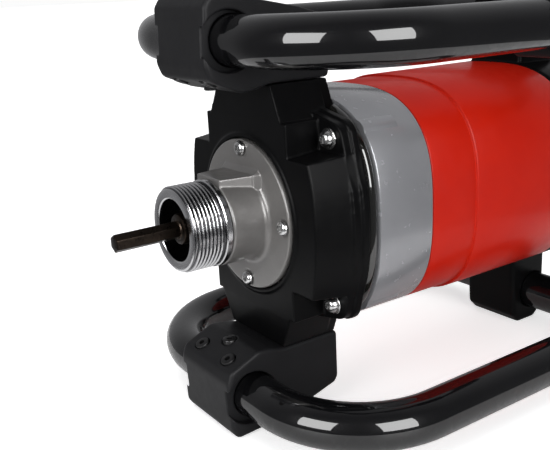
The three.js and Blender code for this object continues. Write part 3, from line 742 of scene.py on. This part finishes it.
FINISHES = {
    "dark_steel": dark_steel("dark_steel_finish"),
    "machined_aluminium": turned_metal("turned_aluminium_finish"),
    "grey_casting": painted_casting("grey_casting_finish"),
    "zinc_steel": bright_zinc("bright_zinc_finish"),
    "black_screw": black_oxide("black_oxide_finish"),
    "black_cover": satin_cover("satin_cover_finish"),
    "black_bracket": textured_plastic("bracket_plastic_finish", (0.0105, 0.0105, 0.0115), 0.44),
    "black_tube": gloss_tube("gloss_tube_finish"),
    "black_seal": rubber("seal_rubber_finish"),
    "gloss_black_plate": gloss_plate("gloss_plate_finish"),
    "silver_band": band_paint("silver_band_finish"),
    "red_housing": red_paint("red_housing_finish"),
    "gear_steel": ground_steel("gear_steel_finish", (0.42, 0.42, 0.43), 0.28, 0.45),
    "bearing_steel": ground_steel("bearing_steel_finish", (0.58, 0.58, 0.59), 0.16, 0.3),
    "laminate": laminations("laminate_finish"),
    "enamelled_copper": windings("copper_winding_finish"),
    "white_nylon": nylon("nylon_finish"),
    "controller_board": circuit_board("circuit_board_finish"),
    "battery_plastic": textured_plastic("battery_plastic_finish", (0.0105, 0.0105, 0.0112), 0.48),
    "pod_plastic": textured_plastic("pod_plastic_finish", (0.012, 0.012, 0.0128), 0.46, 0.35),
    "red_control": red_control("red_control_finish"),
}

for node, thing in frame["nodes"].items():
    thing.data.materials.clear()
    thing.data.materials.append(FINISHES[SLOT[node]])


def stand_for(shape, node, degrees=35):
    """The finished shape takes the place of its CAD node."""
    shape.name = f"{node}_shape"
    shape.data.name = shape.name
    shape.data.materials.clear()
    shape.data.materials.append(FINISHES[SLOT[node]])
    smooth(shape, degrees)
    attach(shape, BODY[node])
    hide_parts(node)
    return shape


def cast(node, body, tools, grain, passes, keep):
    """A cast or moulded piece: cut, then re-skinned with rounded edges."""
    return stand_for(mould(cut(body, *tools), grain, passes, keep), node, 60)


# ---------------------------------------------------------------- fasteners
def button_screw(head_r, head_h, shank_r, length, recess_r, lobes=6):
    """A button-head screw along X with a six-lobed recess; its seat is at the flange face."""
    profile = [(-length, 0), (-length, shank_r - 0.3), (-length + 0.3, shank_r), (0, shank_r)]
    profile += [(0, head_r - 0.25), (0.25, head_r)]
    rise = head_h - 0.25
    for k in range(1, 9):
        angle = k / 8 * math.radians(78)
        x = 0.25 + rise * math.sin(angle) / math.sin(math.radians(78))
        r = head_r * (math.cos(angle) * 0.62 + 0.38)
        profile.append((x, r))
    profile.append((head_h, 0))
    body = turned(profile, 48)
    star = []
    for i in range(72):
        angle = i / 72 * 2 * math.pi
        r = recess_r * (1 + 0.13 * math.cos(lobes * angle))
        star.append((r * math.cos(angle), r * math.sin(angle)))
    return cut(body, prism(star, head_h * 0.35, head_h + 1))


def place_screw(node, screw, seat, y, z, turned_by=0.0):
    turn(screw, turned_by)
    move(screw, seat, y, z)
    return stand_for(screw, node, 30)


def quarter(index):
    """Where the flange screws sit: top, then each quarter turn."""
    angle = math.radians(90 + 90 * index)
    return FLANGE_SCREW_R * math.cos(angle), FLANGE_SCREW_R * math.sin(angle)


def all_screws():
    for i in range(4):
        node = f"flange_screw_{i + 1}"
        _, y, z = middle(node)
        screw = button_screw(4.0, 2.4, 2.0, 8, 1.75)
        place_screw(node, screw, 0.1, y, z, 17 * i)
    for i in range(4):
        node = f"cover_washer_{i + 1}"
        low, high = extent(node)
        _, y, z = middle(node)
        stand_for(ring(2.8, 5.4, low.x, high.x, 64, y, z, 0.3), node)
        screw = button_screw(4.4, 3.6, 2.5, 30, 1.9)
        place_screw(f"cover_screw_{i + 1}", screw, high.x + 0.1, y, z, 11 + 23 * i)
    for i in range(4):
        node = f"rear_cap_screw_{i + 1}"
        _, y, z = middle(node)
        screw = turn(move(button_screw(4.4, 3.6, 2.2, 38, 1.9), -FACE, 0, 0), 180, "Z")
        move(screw, FACE, 0, 0)
        stand_for(move(screw, extent(node)[0].x + 3.6, y, z), node, 30)


SLOPE_NORMAL = (0.398, -0.918)
CLAMP_SCREWS = [
    ((24.0, -13.4, 71.3), SLOPE_NORMAL),
    ((24.0, 13.4, 71.3), SLOPE_NORMAL),
    ((14.4, 0.0, 67.5), (0.0, -1.0)),
]


def aimed(shape, at, out):
    """A shape drawn along X from the flange face, turned to look along `out` in the XZ plane."""
    move(shape, -FACE, 0, 0)
    turn(shape, math.degrees(math.atan2(-out[1], out[0])), "Y")
    return move(shape, at[0] + FACE, at[1], at[2])


def clamp_screws():
    for i, (at, out) in enumerate(CLAMP_SCREWS):
        profile = [(-6.5, 0), (-6.5, 1.8), (-6.3, 2.0), (0, 2.0), (0, 3.6), (0.2, 3.9)]
        profile += [(2.3, 3.9), (2.7, 3.7), (2.8, 3.4), (2.8, 0)]
        screw = cut(turned(profile, 48), prism(circle(1.73, count=6), 1.0, 4.0))
        seat = (at[0] - out[0] * 2, at[1], at[2] - out[1] * 2)
        upper = aimed(screw, seat, out)
        lower = flipped(upper)
        stand_for(upper, f"clamp_screw_upper_{i + 1}", 30)
        stand_for(lower, f"clamp_screw_lower_{i + 1}", 30)


# ---------------------------------------------------------------- output drive
def drive_shaft():
    low, high = extent("output_shaft")
    body = turned([
        (low.x, 0), (low.x, HUB_R - 0.5), (low.x + 0.5, HUB_R), (-4.2, HUB_R), (-4.2, 10.2),
        (-3.9, 10.5), (1.4, 10.5), (1.7, 10.2), (1.7, HUB_R), (HUB_FRONT - 1.3, HUB_R),
        (HUB_FRONT - 0.4, HUB_R - 0.5), (HUB_FRONT, 6.6), (HUB_FRONT, 5.2),
        (HUB_FRONT + 0.5, 4.7), (HUB_FRONT + 0.5, 0),
    ], 96)
    radius = HEX_AF / math.sqrt(3)
    corners = [
        (radius * math.cos((k + 0.5) * math.pi / 3), radius * math.sin((k + 0.5) * math.pi / 3))
        for k in range(6)
    ]
    bar = prism(rounded(corners, 0.5, 4), HUB_FRONT - 1, high.x, edge=EDGE)
    stand_for(fuse(body, bar), "output_shaft", 30)


def thread_height(turns):
    """Height of a 60-degree thread with flats, for a place given in turns."""
    t = turns - math.floor(turns)
    ramp = min(t, 1 - t) * 2
    return min(1.0, max(0.0, (ramp - 0.1) / 0.78))


def threaded_nose():
    """The ring with its external thread; the thread runs out towards both ends."""
    low, high = extent("threaded_nose")
    rim_r = high.z
    bore = 16.0
    start, end = 25.4, NOSE_FRONT - 0.9
    root = THREAD_R - THREAD_DEPTH
    rear = [(low.x, bore + 0.3), (low.x, 17.8), (low.x + 0.2, 18), (20.8, 18), (20.8, rim_r - 0.5)]
    rear += [(21.3, rim_r), (23.7, rim_r), (24.2, rim_r - 0.5), (24.2, root), (24.9, root - 0.1)]
    front = [(NOSE_FRONT - 0.45, root + 0.2), (NOSE_FRONT - 0.1, root - 0.4)]
    front += [(NOSE_FRONT, root - 0.8), (NOSE_FRONT, bore + 0.9), (NOSE_FRONT - 0.25, bore + 0.4)]
    front += [(NOSE_FRONT - 0.7, bore), (low.x + 0.3, bore)]
    steps = int((end - start) / THREAD_PITCH * 14)
    segments = 180
    rings = [[spot] * segments for spot in rear]
    for k in range(steps + 1):
        x = start + (end - start) * k / steps
        fade = min(1.0, (x - start) / 1.2, (end - x) / 0.9)
        row = []
        for i in range(segments):
            height = thread_height((x - start) / THREAD_PITCH + i / segments)
            row.append((x, root + THREAD_DEPTH * height * max(0.0, fade)))
        rings.append(row)
    rings += [[spot] * segments for spot in front]
    ways = circle(1.0, count=segments)
    skins = [[(x, r * c, r * s) for (x, r), (c, s) in zip(row, ways)] for row in rings]
    stand_for(loft(skins, around=True), "threaded_nose", 28)


def oil_seal():
    low, high = extent("oil_seal")
    outer = high.z
    lip = 8.3
    profile = [(low.x, outer), (high.x - 0.4, outer), (high.x, outer - 0.4), (high.x, 12.6)]
    profile += [(high.x - 1.6, 11.8), (high.x - 1.9, 10.4), (high.x - 0.7, 9.2), (high.x - 0.5, lip)]
    profile += [(high.x - 1.4, lip), (low.x + 1.2, 9.4), (low.x, 9.6)]
    stand_for(turned(profile, 96), "oil_seal")


def flange():
    profile = [(-14, 17.8), (-14, 20.6), (-DISC_T, 20.6), (-DISC_T, DISC_R - 0.3)]
    profile += [(-DISC_T + 0.3, DISC_R)] + arc(-0.8, DISC_R - 0.8, 0.8, 90, 0, 4)
    profile += arc(3.0, BOSS_R + 3.2, 3.0, 180, 270, 7)
    profile += [(BOSS_FRONT - 0.8, BOSS_R), (BOSS_FRONT - 0.2, BOSS_R - 0.25)]
    profile += [(BOSS_FRONT, BOSS_R - 0.8), (BOSS_FRONT, 18.3), (12.2, 18.3), (12.2, 17.8)]
    profile += [(1.6, 17.8), (1.6, 14.5), (-4, 14.5), (-4, 17.8)]
    body = turned(profile, 180)
    pad = []
    for side in (-1, 1):
        pad += [(-2, side * PAD_HALF[0], PAD_TOP), (-2, side * (PAD_HALF[0] + 0.8), 8)]
        pad += [(BOSS_FRONT, side * PAD_HALF[1], PAD_TOP), (BOSS_FRONT, side * (PAD_HALF[1] + 0.8), 8)]
    skirt = []
    for side in (-1, 1):
        for x, spread in ((-1.0, 3.4), (1.0, 1.2), (3.2, 0.0)):
            wide = side * (PAD_HALF[0] + spread)
            skirt += [(x, wide, 10), (x, wide, PAD_TOP)]
            skirt += [(x, side * PAD_HALF[0], PAD_TOP + spread)]
    tool = rod(20.6, 0.5, BOSS_FRONT + 1, 96)
    top = cut(union(hull(pad), hull(skirt)), tool)
    body = union(body, top)
    holes = []
    for i in range(4):
        holes.append(rod(2.4, -DISC_T - 1, 1, 32, *quarter(i)))
        holes.append(rod(4.7, -0.45, 1, 48, *quarter(i)))
    cast("flange", body, holes, 0.42, 4, 0.4)



# ---------------------------------------------------------------- gearbox
def lobed_rim(inset, x0, x1):
    """The cover's rear rim: the motor outline with a lobe round each corner screw."""
    points = []
    for y, z in CORNERS:
        for v, w in circle(LOBE_R - inset, y * 1.02, z, 24):
            points += [(x0, v, w), (x1, v, w)]
    for side in (-1, 1):
        for k in range(-8, 9):
            t = k / 8
            flank = 64.2 - 1.4 * abs(t) ** 2 - inset
            crown = 57.6 - 0.6 * abs(t) ** 2 - inset
            for x in (x0, x1):
                points += [(x, side * flank, 19 * t), (x, 24 * t, side * crown)]
    return hull(points)


def gearbox_cover():
    sides = []
    for y in (-1, 1):
        for k in range(-8, 9):
            t = k / 8
            bulge = 1 - abs(t) ** 2.4
            sides += [(COVER_FACE, y * (53.2 + 4.8 * bulge), 34 * t)]
            sides += [(COVER_REAR, y * (58.4 + 5.6 * bulge), 36.5 * t)]
    taper, rear = [], []
    for y in (-1, 1):
        for x in (COVER_FACE, COVER_REAR):
            taper += [(x, y * 33, SHOULDER), (x - 0.8, y * 24.5, NECK_TOP)]
        for x in (-20, PLATE_REAR):
            rear += [(x, y * 31, 52.5), (x, y * 24.5, NECK_TOP)]
    necks = [hull(taper), hull(rear)]
    necks.append(box(COVER_REAR, COVER_FACE, -37, 37, 28, SHOULDER + 0.1))
    necks += [flipped(neck) for neck in necks]
    rim = lobed_rim(0.0, COVER_REAR, RIM_X)
    ears = lobed_rim(1.2, COVER_REAR, EAR_X)
    lip = [(COVER_FACE - 6, 0), (COVER_FACE - 6, 43.7)] + arc(-3.2, 42.1, 1.6, 90, 0, 6)
    lip += [(-1.6, 0)]
    body = union(hull(sides), *necks, rim, ears, turned(lip, 180))
    back = -DISC_T - CLEAR
    seat = [(back, 0), (back, 40.3), (-2.8, 40.3), (-1.4, 41.1), (5, 41.1), (5, 0)]
    tools = [
        turned(seat, 180),
        rod(20.9, -20, 0, 96),
        rod(34, COVER_REAR - 8, -11.4, 96),
        rod(26.5, COVER_REAR - 8, -11.4, 72, LAY_Y, LAY_Z),
        rod(LAY_SEAT, -12, -6.2, 48, LAY_Y, LAY_Z),
    ]
    tools += [rod(2.4, -9.5, 0, 32, *quarter(i)) for i in range(4)]
    tools += [rod(CORNER_HOLE, COVER_REAR - 1, EAR_X + 1, 32, y, z) for y, z in CORNERS]
    cast("gearbox_cover", body, tools, 0.55, 5, 0.3)


def gearbox_plate():
    low, high = extent("gearbox_plate")
    plate = prism(superellipse(NARROW + 0.6), PLATE_REAR, high.x, edge=2.9, steps=9)
    body = union(plate, rod(18, low.x, -37, 96))
    tools = [
        box(-39, -31, -33.5, 33.5, 51.8, 70),
        box(-39, -31, -33.5, 33.5, -70, -51.8),
        rod(14.3, -50, -38.4, 96),
        rod(9, -39, -31, 64),
        rod(LAY_SEAT, -36.9, -31, 48, LAY_Y, LAY_Z),
    ]
    tools += [rod(CORNER_HOLE, -39, -31, 32, y, z) for y, z in CORNERS]
    stand_for(cut(body, *tools), "gearbox_plate", 30)


# ---------------------------------------------------------------- motor
def sleeve(sections, wall_inset, low, high):
    """A shell lofted through (x, inset) sections of the motor outline, open at both ends."""
    rings = [[(x, u, v) for u, v in superellipse(inset, count=200)] for x, inset in sections]
    skin = loft(rings)
    return cut(skin, prism(superellipse(wall_inset, count=200), low - 1, high + 1))


def corner_bosses(x0, x1):
    """Bored screw bosses in the four corners of the shell."""
    return [ring(2.8, 7.4, x0, x1, 40, y, z) for y, z in CORNERS]


def front_lip(x):
    """The (x, inset) sections of a softened front edge."""
    return [(x - EDGE, NARROW), (x - 0.2, NARROW + 0.2), (x, NARROW + EDGE)]


def motor_band():
    low, high = extent("motor_band")
    sections = [(low.x, NARROW + EDGE), (low.x + 0.2, NARROW + 0.2), (low.x + EDGE, NARROW)]
    sections += front_lip(high.x)
    shell = sleeve(sections, WALL + NARROW, low.x, high.x)
    stand_for(fuse(shell, *corner_bosses(-60, high.x - 0.1)), "motor_band", 30)


def motor_housing():
    low, high = extent("motor_housing")
    sections = [(low.x, EDGE), (low.x + 0.2, 0.2), (low.x + EDGE, 0)]
    sections += [(COLLAR_END - 0.9, 0), (COLLAR_END - 0.3, 0.25), (COLLAR_END, 0.8)]
    sections += [(COLLAR_END + 0.02, NARROW - 0.3), (COLLAR_END + 0.3, NARROW)]
    sections += front_lip(high.x)
    shell = sleeve(sections, WALL + NARROW, low.x, high.x)
    stand_for(fuse(shell, *corner_bosses(low.x + 0.1, -170)), "motor_housing", 30)


# ---------------------------------------------------------------- rear cap
def rear_cap():
    high = extent("rear_cap")[1]
    x0, x1 = CAP_REAR, high.x
    top = high.z
    skin = prism(superellipse(count=200), x0, x1, edge=3.2, steps=6)
    corners = [
        (x0, 50), (x1 - 3, 50), (x1 - 4, 74), (x1 - 6, top - 6), (x1 - 12, top),
        (x0 + 8, top), (x0, top - 7),
    ]
    arm = prism(rounded(corners, [0, 0, 10, 4, 4, 5, 5]), -20, 20, "Y", 2.4)
    body = union(skin, arm, flipped(arm))
    hollow = prism(superellipse(WALL), x0 + 4, x1 + 1)
    body = cut(body, hollow)
    inside = [rod(7.5, x0 + 3, x1 - 0.3, 40, y, z) for y, z in CORNERS]
    rail_outline = [
        (x0 + 1, 26), (x0 - 11, 26), (x0 - 11, 33), (x0 - 6, 33), (x0 - 6, 30), (x0 + 1, 30),
    ]
    rail = prism(rail_outline, -36, 36, "Y")
    seat = ring(11.3, 16, x1 - 16, x1 - 3)
    spokes = [
        box(x1 - 14, x1 - 9, -63, -14, -5, 5), box(x1 - 14, x1 - 9, 14, 63, -5, 5),
        box(x1 - 14, x1 - 9, -5, 5, -60, -14), box(x1 - 14, x1 - 9, -5, 5, 14, 60),
    ]
    body = union(body, *inside, rail, flipped(rail), seat, *spokes)
    tools = [prism(circle(CLAMP_R, REAR_BAR_X, z), -30, 30, "Y") for z in (BAR_Z, -BAR_Z)]
    for side in (1, -1):
        for i in range(4):
            z = (i - 1.5) * 11
            slot = rectangle(x1 - 28, x1 - 8, z - 2.2, z + 2.2, 1.8, 6)
            tools.append(prism(slot, side * 66 - 9, side * 66 + 9, "Y"))
    for y, z in CORNERS:
        tools.append(rod(CORNER_HOLE, x0 - 1, x1 + 1, 32, y, z))
        tools.append(rod(5.3, x0 - 1, x0 + 7, 48, y, z))
    cast("rear_cap", body, tools, 0.7, 4, 0.35)


# ---------------------------------------------------------------- handles
def loop_path():
    """Centre line of a loop as (x, y, direction), from socket to socket."""
    half = [(REAR_BAR_X, 1.5, (0, 1))]
    quarter_turn = [(math.cos(k * math.pi / 40), math.sin(k * math.pi / 40)) for k in range(21)]
    for c, s in quarter_turn:
        x = REAR_BAR_X + REAR_BEND * (1 - c)
        half.append((x, SIDE_Y - REAR_BEND + REAR_BEND * s, (s, c)))
    for c, s in quarter_turn:
        x = BAR_X - FRONT_BEND + FRONT_BEND * s
        half.append((x, SIDE_Y - FRONT_BEND + FRONT_BEND * c, (c, -s)))
    other = [(x, -y, (-dx, dy)) for x, y, (dx, dy) in reversed(half)]
    return half + other


def handle_loop(node, z):
    path = loop_path()
    skins = []
    for radius, stations in ((TUBE_R, path), (TUBE_R - 2, list(reversed(path)))):
        for x, y, (dx, dy) in stations:
            spots = circle(radius, 0.0, z, 64)
            skins.append([(x - dy * across, y + dx * across, height) for across, height in spots])
    stand_for(loft(skins, around=True), node, 40)


def front_brackets():
    low, high = extent("front_bracket_upper")
    top = high.z
    corners = [
        (low.x, 69.3), (-4, 69.3), (4, 67.2), (12, 66.4), (29, 73.5), (31.6, 80),
        (30.4, 107), (27, top), (9, 110.8), (-23, 104.6), (-38, 100.4), (low.x, 97),
    ]
    radii = [3, 20, 16, 8, 5, 8, 5, 4, 30, 20, 4, 4]
    half = high.y
    body = prism(rounded(corners, radii, 8), -half, half, "Y", 2.0, 5)
    tools = [prism(circle(CLAMP_R, BAR_X, BAR_Z, 72), -40, 40, "Y")]
    slot = [(BAR_X + 3.5 + 15.2 * c, BAR_Z + 14.4 * s) for c, s in circle(1.0)]
    for y in (half, -half):
        tools.append(prism(slot, y - 4, y + 4, "Y"))
    for at, out in CLAMP_SCREWS:
        tools.append(aimed(rod(4.3, -2.2, 6, 48), at, out))
        tools.append(aimed(rod(2.4, -14, 1, 32), at, out))
    upper = mould(cut(body, *tools), 0.45, 4, 0.3)
    lower = flipped(upper)
    stand_for(upper, "front_bracket_upper", 60)
    stand_for(lower, "front_bracket_lower", 60)


# ---------------------------------------------------------------- battery and controls
def battery_pack():
    low, high = extent("battery_pack")
    x0, x1 = low.x, high.x
    body = prism(rectangle(-42, 42, -56, 56, 10), x0, x1, edge=4, steps=6)
    groove_outline = [
        (x1 + 2, 25.4), (x1 - 9.6, 25.4), (x1 - 9.6, 33.6),
        (x1 - 3.4, 33.6), (x1 - 3.4, 30.6), (x1 + 2, 30.6),
    ]
    groove = prism(groove_outline, -50, 37, "Y")
    tools = [groove, flipped(groove), box(x1 - 26, x1 - 8, 34, 50, -12.5, 12.5)]
    for i in range(4):
        x = x0 + 12 + i * 9
        outer = prism(rectangle(-44, 44, -58, 58, 12), x, x + 3)
        tools.append(cut(outer, prism(rectangle(-41, 41, -55, 55, 9), x - 1, x + 4)))
    seam = prism(rectangle(-44, 44, -58, 58, 12), x1 - 30.4, x1 - 29.6)
    tools.append(cut(seam, prism(rectangle(-41.3, 41.3, -55.3, 55.3, 9.3), x1 - 32, x1 - 28)))
    tools.append(prism(rectangle(-30, 30, -44, 44, 6), x0 - 2, x0 + 0.8))
    cast("battery_pack", body, tools, 0.6, 3, 0.35)


def battery_latch():
    low, high = extent("battery_latch")
    outline = rectangle(low.x, high.x, low.z, high.z, 3)
    body = prism(outline, low.y, high.y, "Y", 1.2)
    tools = []
    for k in range(4):
        x = low.x + 3.7 + k * 3.3
        tools.append(box(x - 0.6, x + 0.6, high.y - 0.9, high.y + 1, low.z + 3, high.z - 3))
    cast("battery_latch", body, tools, 0.3, 3, 0.4)


def pod_tools(x0, x1):
    """What the tube, the trigger and its pin take out of both halves of the pod."""
    x, y, _ = middle("trigger_pin")
    return [
        rod(CLAMP_R, x0 - 1, x1 + 1, 72, SIDE_Y, BAR_Z),
        box(x1 - 13, x1 + 1, SIDE_Y - 25, SIDE_Y - 13.2, BAR_Z - 6.6, BAR_Z + 6.6),
        upright(PIN_HOLE, x, y, BAR_Z - 11, BAR_Z + 11),
    ]


def upright(radius, x, y, z0, z1, segments=36):
    return prism(circle(radius, x, y, segments), z0, z1, "Z")


def switch_pod():
    low, high = extent("switch_pod")
    x0, x1 = low.x, high.x
    body = prism(rectangle(low.y, high.y, BAR_Z, high.z, 5), x0, x1, edge=2.4)
    tools = pod_tools(x0, x1)
    tools.append(upright(5.3, x0 + 14, SIDE_Y, BAR_Z + 12.8, BAR_Z + 21))
    tools.append(box(x0 + 12, x0 + 32, SIDE_Y + 14, SIDE_Y + 18, BAR_Z + 3.7, BAR_Z + 12.3))
    for x in (x0 + 8, x1 - 20):
        tools.append(upright(2.4, x, POD_SCREW_Y, BAR_Z - 1, BAR_Z + 10))
    for k in range(5):
        x = x1 - 17 + k * 3.2
        tools.append(box(x - 0.55, x + 0.55, SIDE_Y - 8, SIDE_Y + 8, high.z - 0.7, high.z + 1))
    cast("switch_pod", body, tools, 0.42, 3, 0.35)


def switch_clamp():
    low, high = extent("switch_clamp")
    x0, x1 = low.x, high.x
    body = prism(rectangle(low.y, high.y, low.z, high.z, 5), x0, x1, edge=2.4)
    tools = pod_tools(x0, x1)
    for x in (x0 + 8, x1 - 20):
        tools.append(upright(2.4, x, POD_SCREW_Y, BAR_Z - 20, BAR_Z))
        tools.append(upright(4.4, x, POD_SCREW_Y, BAR_Z - 20, BAR_Z - 13))
    cast("switch_clamp", body, tools, 0.42, 3, 0.35)


def trigger():
    px, py, _ = middle("trigger_pin")
    corners = [
        (0, 4), (8, 2), (34, 0.5), (42, -1.8), (47, -5),
        (46, -7), (42, -5), (34, -3), (0, -4), (-4, 0),
    ]
    radii = [3, 12, 18, 12, 0.9, 0.9, 12, 18, 3, 4]
    outline = rounded([(px + u, py + v) for u, v in corners], radii, 8)
    body = prism(outline, BAR_Z - 6, BAR_Z + 6, "Z", 1.3, 5)
    stand_for(cut(body, upright(PIN_HOLE, px, py, BAR_Z - 9, BAR_Z + 9)), "trigger", 40)


def trigger_pin():
    low, high = extent("trigger_pin")
    x, y, _ = middle("trigger_pin")
    stand_for(prism(circle(1.5, x, y, 40), low.z, high.z, "Z", 0.3), "trigger_pin")


def lock_button():
    low, high = extent("lock_button")
    x, y, _ = middle("lock_button")
    body = prism(circle(5, x, y, 64), low.z, high.z, "Z", 1.1, 6)
    dish = []
    for k in range(3):
        groove_r = 1.2 + 1.2 * k
        outer = upright(groove_r, x, y, high.z - 0.35, high.z + 1, 48)
        dish.append(cut(outer, upright(groove_r - 0.45, x, y, high.z - 1, high.z + 2, 48)))
    stand_for(cut(body, *dish), "lock_button", 35)


def direction_slider():
    low, high = extent("direction_slider")
    x = middle("direction_slider")[0]
    base = prism(rectangle(low.x, high.x, low.z, high.z, 1.2), low.y, low.y + 3.1, "Y", 0.5)
    ridges = []
    for k in range(3):
        centre = x + (k - 1) * 2.0
        tall = high.y if k == 1 else high.y - 1.0
        profile = rounded([
            (centre - 0.9, low.y + 2.5), (centre + 0.9, low.y + 2.5),
            (centre + 0.6, tall), (centre - 0.6, tall),
        ], [0, 0, 0.5, 0.5], 4)
        ridges.append(prism(profile, low.z + 0.9, high.z - 0.9, "Z", 0.3, 3))
    stand_for(fuse(base, *ridges), "direction_slider", 35)


# ---------------------------------------------------------------- studio
TABLE_R = 300


def softbox(name, azimuth, elevation, width, height, radiance, glossy, distance=1.3):
    """A rectangular light of a given radiance, either for highlights or for matt light."""
    target = Vector((-0.07, 0.03, 0.0))
    az, el = math.radians(azimuth), math.radians(elevation)
    direction = Vector((
        math.cos(el) * math.cos(az), math.cos(el) * math.sin(az), math.sin(el),
    ))
    data = bpy.data.lights.new(name, "AREA")
    data.shape = "RECTANGLE"
    data.size = 2 * distance * math.tan(math.radians(width / 2))
    data.size_y = 2 * distance * math.tan(math.radians(height / 2))
    data.energy = radiance * math.pi * data.size * data.size_y
    lamp = bpy.data.objects.new(name, data)
    lamp.location = target + direction * distance
    lamp.rotation_euler = direction.to_track_quat("Z", "Y").to_euler()
    lamp.visible_camera = False
    lamp.visible_glossy = glossy
    lamp.visible_diffuse = not glossy
    bpy.context.scene.collection.objects.link(lamp)


def sky(backdrop, studio, behind):
    """A dim studio, paler behind the object; only the camera sees the white backdrop."""
    world = bpy.data.worlds.new("studio")
    bpy.context.scene.world = world
    world.use_nodes = True
    tree = world.node_tree
    tree.nodes.clear()
    place = tree.nodes.new("ShaderNodeTexCoord")
    dot = tree.nodes.new("ShaderNodeVectorMath")
    dot.operation = "DOT_PRODUCT"
    dot.inputs[1].default_value = behind
    ramp = tree.nodes.new("ShaderNodeValToRGB")
    ramp.color_ramp.elements[0].position = 0.5
    ramp.color_ramp.elements[0].color = (studio, studio, studio * 1.04, 1)
    ramp.color_ramp.elements[1].position = 0.95
    ramp.color_ramp.elements[1].color = (0.42, 0.42, 0.43, 1)
    scale = tree.nodes.new("ShaderNodeMapRange")
    scale.inputs["From Min"].default_value = -1
    seen = tree.nodes.new("ShaderNodeBackground")
    seen.inputs["Color"].default_value = (backdrop, backdrop, backdrop, 1)
    lit = tree.nodes.new("ShaderNodeBackground")
    path = tree.nodes.new("ShaderNodeLightPath")
    mix = tree.nodes.new("ShaderNodeMixShader")
    out = tree.nodes.new("ShaderNodeOutputWorld")
    links = [
        (place.outputs["Generated"], dot.inputs[0]),
        (dot.outputs["Value"], scale.inputs["Value"]),
        (scale.outputs["Result"], ramp.inputs["Fac"]),
        (ramp.outputs["Color"], lit.inputs["Color"]),
        (path.outputs["Is Camera Ray"], mix.inputs["Fac"]),
        (lit.outputs[0], mix.inputs[1]),
        (seen.outputs[0], mix.inputs[2]),
        (mix.outputs[0], out.inputs["Surface"]),
    ]
    for source, target in links:
        tree.links.new(source, target)


def floor():
    """A white table in a dim studio: the far floor is seen and lights the
    object, but only the table top shows in glossy surfaces."""
    level = cad_box[0][2] / MM
    centre = (cad_box[0][0] + cad_box[1][0]) / 2 / MM - FACE
    f = Finish("studio_floor", (0.9, 0.9, 0.9), 0.55)
    f.shader.inputs["Emission Color"].default_value = (1, 1, 1, 1)
    seen = f.node("ShaderNodeLightPath").outputs["Is Camera Ray"]
    f.link(f.spread(seen, 0.08, 0.62, 0.0, 1.0), f.shader.inputs["Emission Strength"])
    f.tint(f.noise(400, 2), (0.88, 0.88, 0.885), 0.5)
    f.gloss(f.noise(120, 2), 0.5, 0.6)
    white = f.done()
    count = 64
    rims = [
        [(u, v, level) for u, v in circle(radius, centre, 0.0, count)]
        for radius in (TABLE_R, 30000)
    ]
    table = solid(rims[0], [tuple(range(count))], "studio_table")
    around = [(i, (i + 1) % count, (i + 1) % count + count, i + count) for i in range(count)]
    far = solid(rims[0] + rims[1], around, "studio_floor")
    far.visible_glossy = False
    for ground in (table, far):
        ground.data.materials.append(white)


def studio():
    softbox("key_left", 14, 21, 30, 36, 4.6, False)
    softbox("key_right", 85, 20, 30, 38, 4.6, False)
    softbox("window_left", 14, 21, 30, 36, 10.0, True, 1.2)
    softbox("window_right", 85, 20, 30, 38, 10.0, True, 1.2)
    sun = bpy.data.lights.new("ceiling", "SUN")
    sun.energy = 1.6
    sun.angle = math.radians(70)
    lamp = bpy.data.objects.new("ceiling", sun)
    lamp.rotation_euler = (math.radians(8), math.radians(-6), 0)
    lamp.visible_glossy = False
    bpy.context.scene.collection.objects.link(lamp)
    sky(0.97, 0.13, (-0.535, -0.796, 0.28))
    bpy.context.scene.view_settings.view_transform = "Standard"


def camera():
    data = bpy.data.cameras.new("camera")
    data.sensor_width = 36
    data.lens = 52.9
    data.shift_x = -0.0013
    data.shift_y = 0.0009
    data.clip_start = 0.01
    view = bpy.data.objects.new("camera", data)
    right = Vector((-0.8209, 0.5689, -0.0492))
    up = Vector((-0.1997, -0.2052, 0.9581))
    back = Vector((0.5350, 0.7964, 0.2821))
    turned_to = Matrix((right, up, back)).transposed().to_4x4()
    view.matrix_world = Matrix.Translation((0.1412, 0.3494, 0.1136)) @ turned_to
    bpy.context.scene.collection.objects.link(view)
    bpy.context.scene.camera = view


# ---------------------------------------------------------------- build
camera()
studio()
floor()
for build in (
    drive_shaft, threaded_nose, oil_seal, flange, gearbox_cover, gearbox_plate,
    motor_band, motor_housing, rear_cap,
):
    build()
handle_loop("handle_loop_upper", BAR_Z)
handle_loop("handle_loop_lower", -BAR_Z)
for build in (
    front_brackets, all_screws, clamp_screws, battery_pack, battery_latch, switch_pod,
    switch_clamp, trigger, trigger_pin, lock_button, direction_slider,
):
    build()
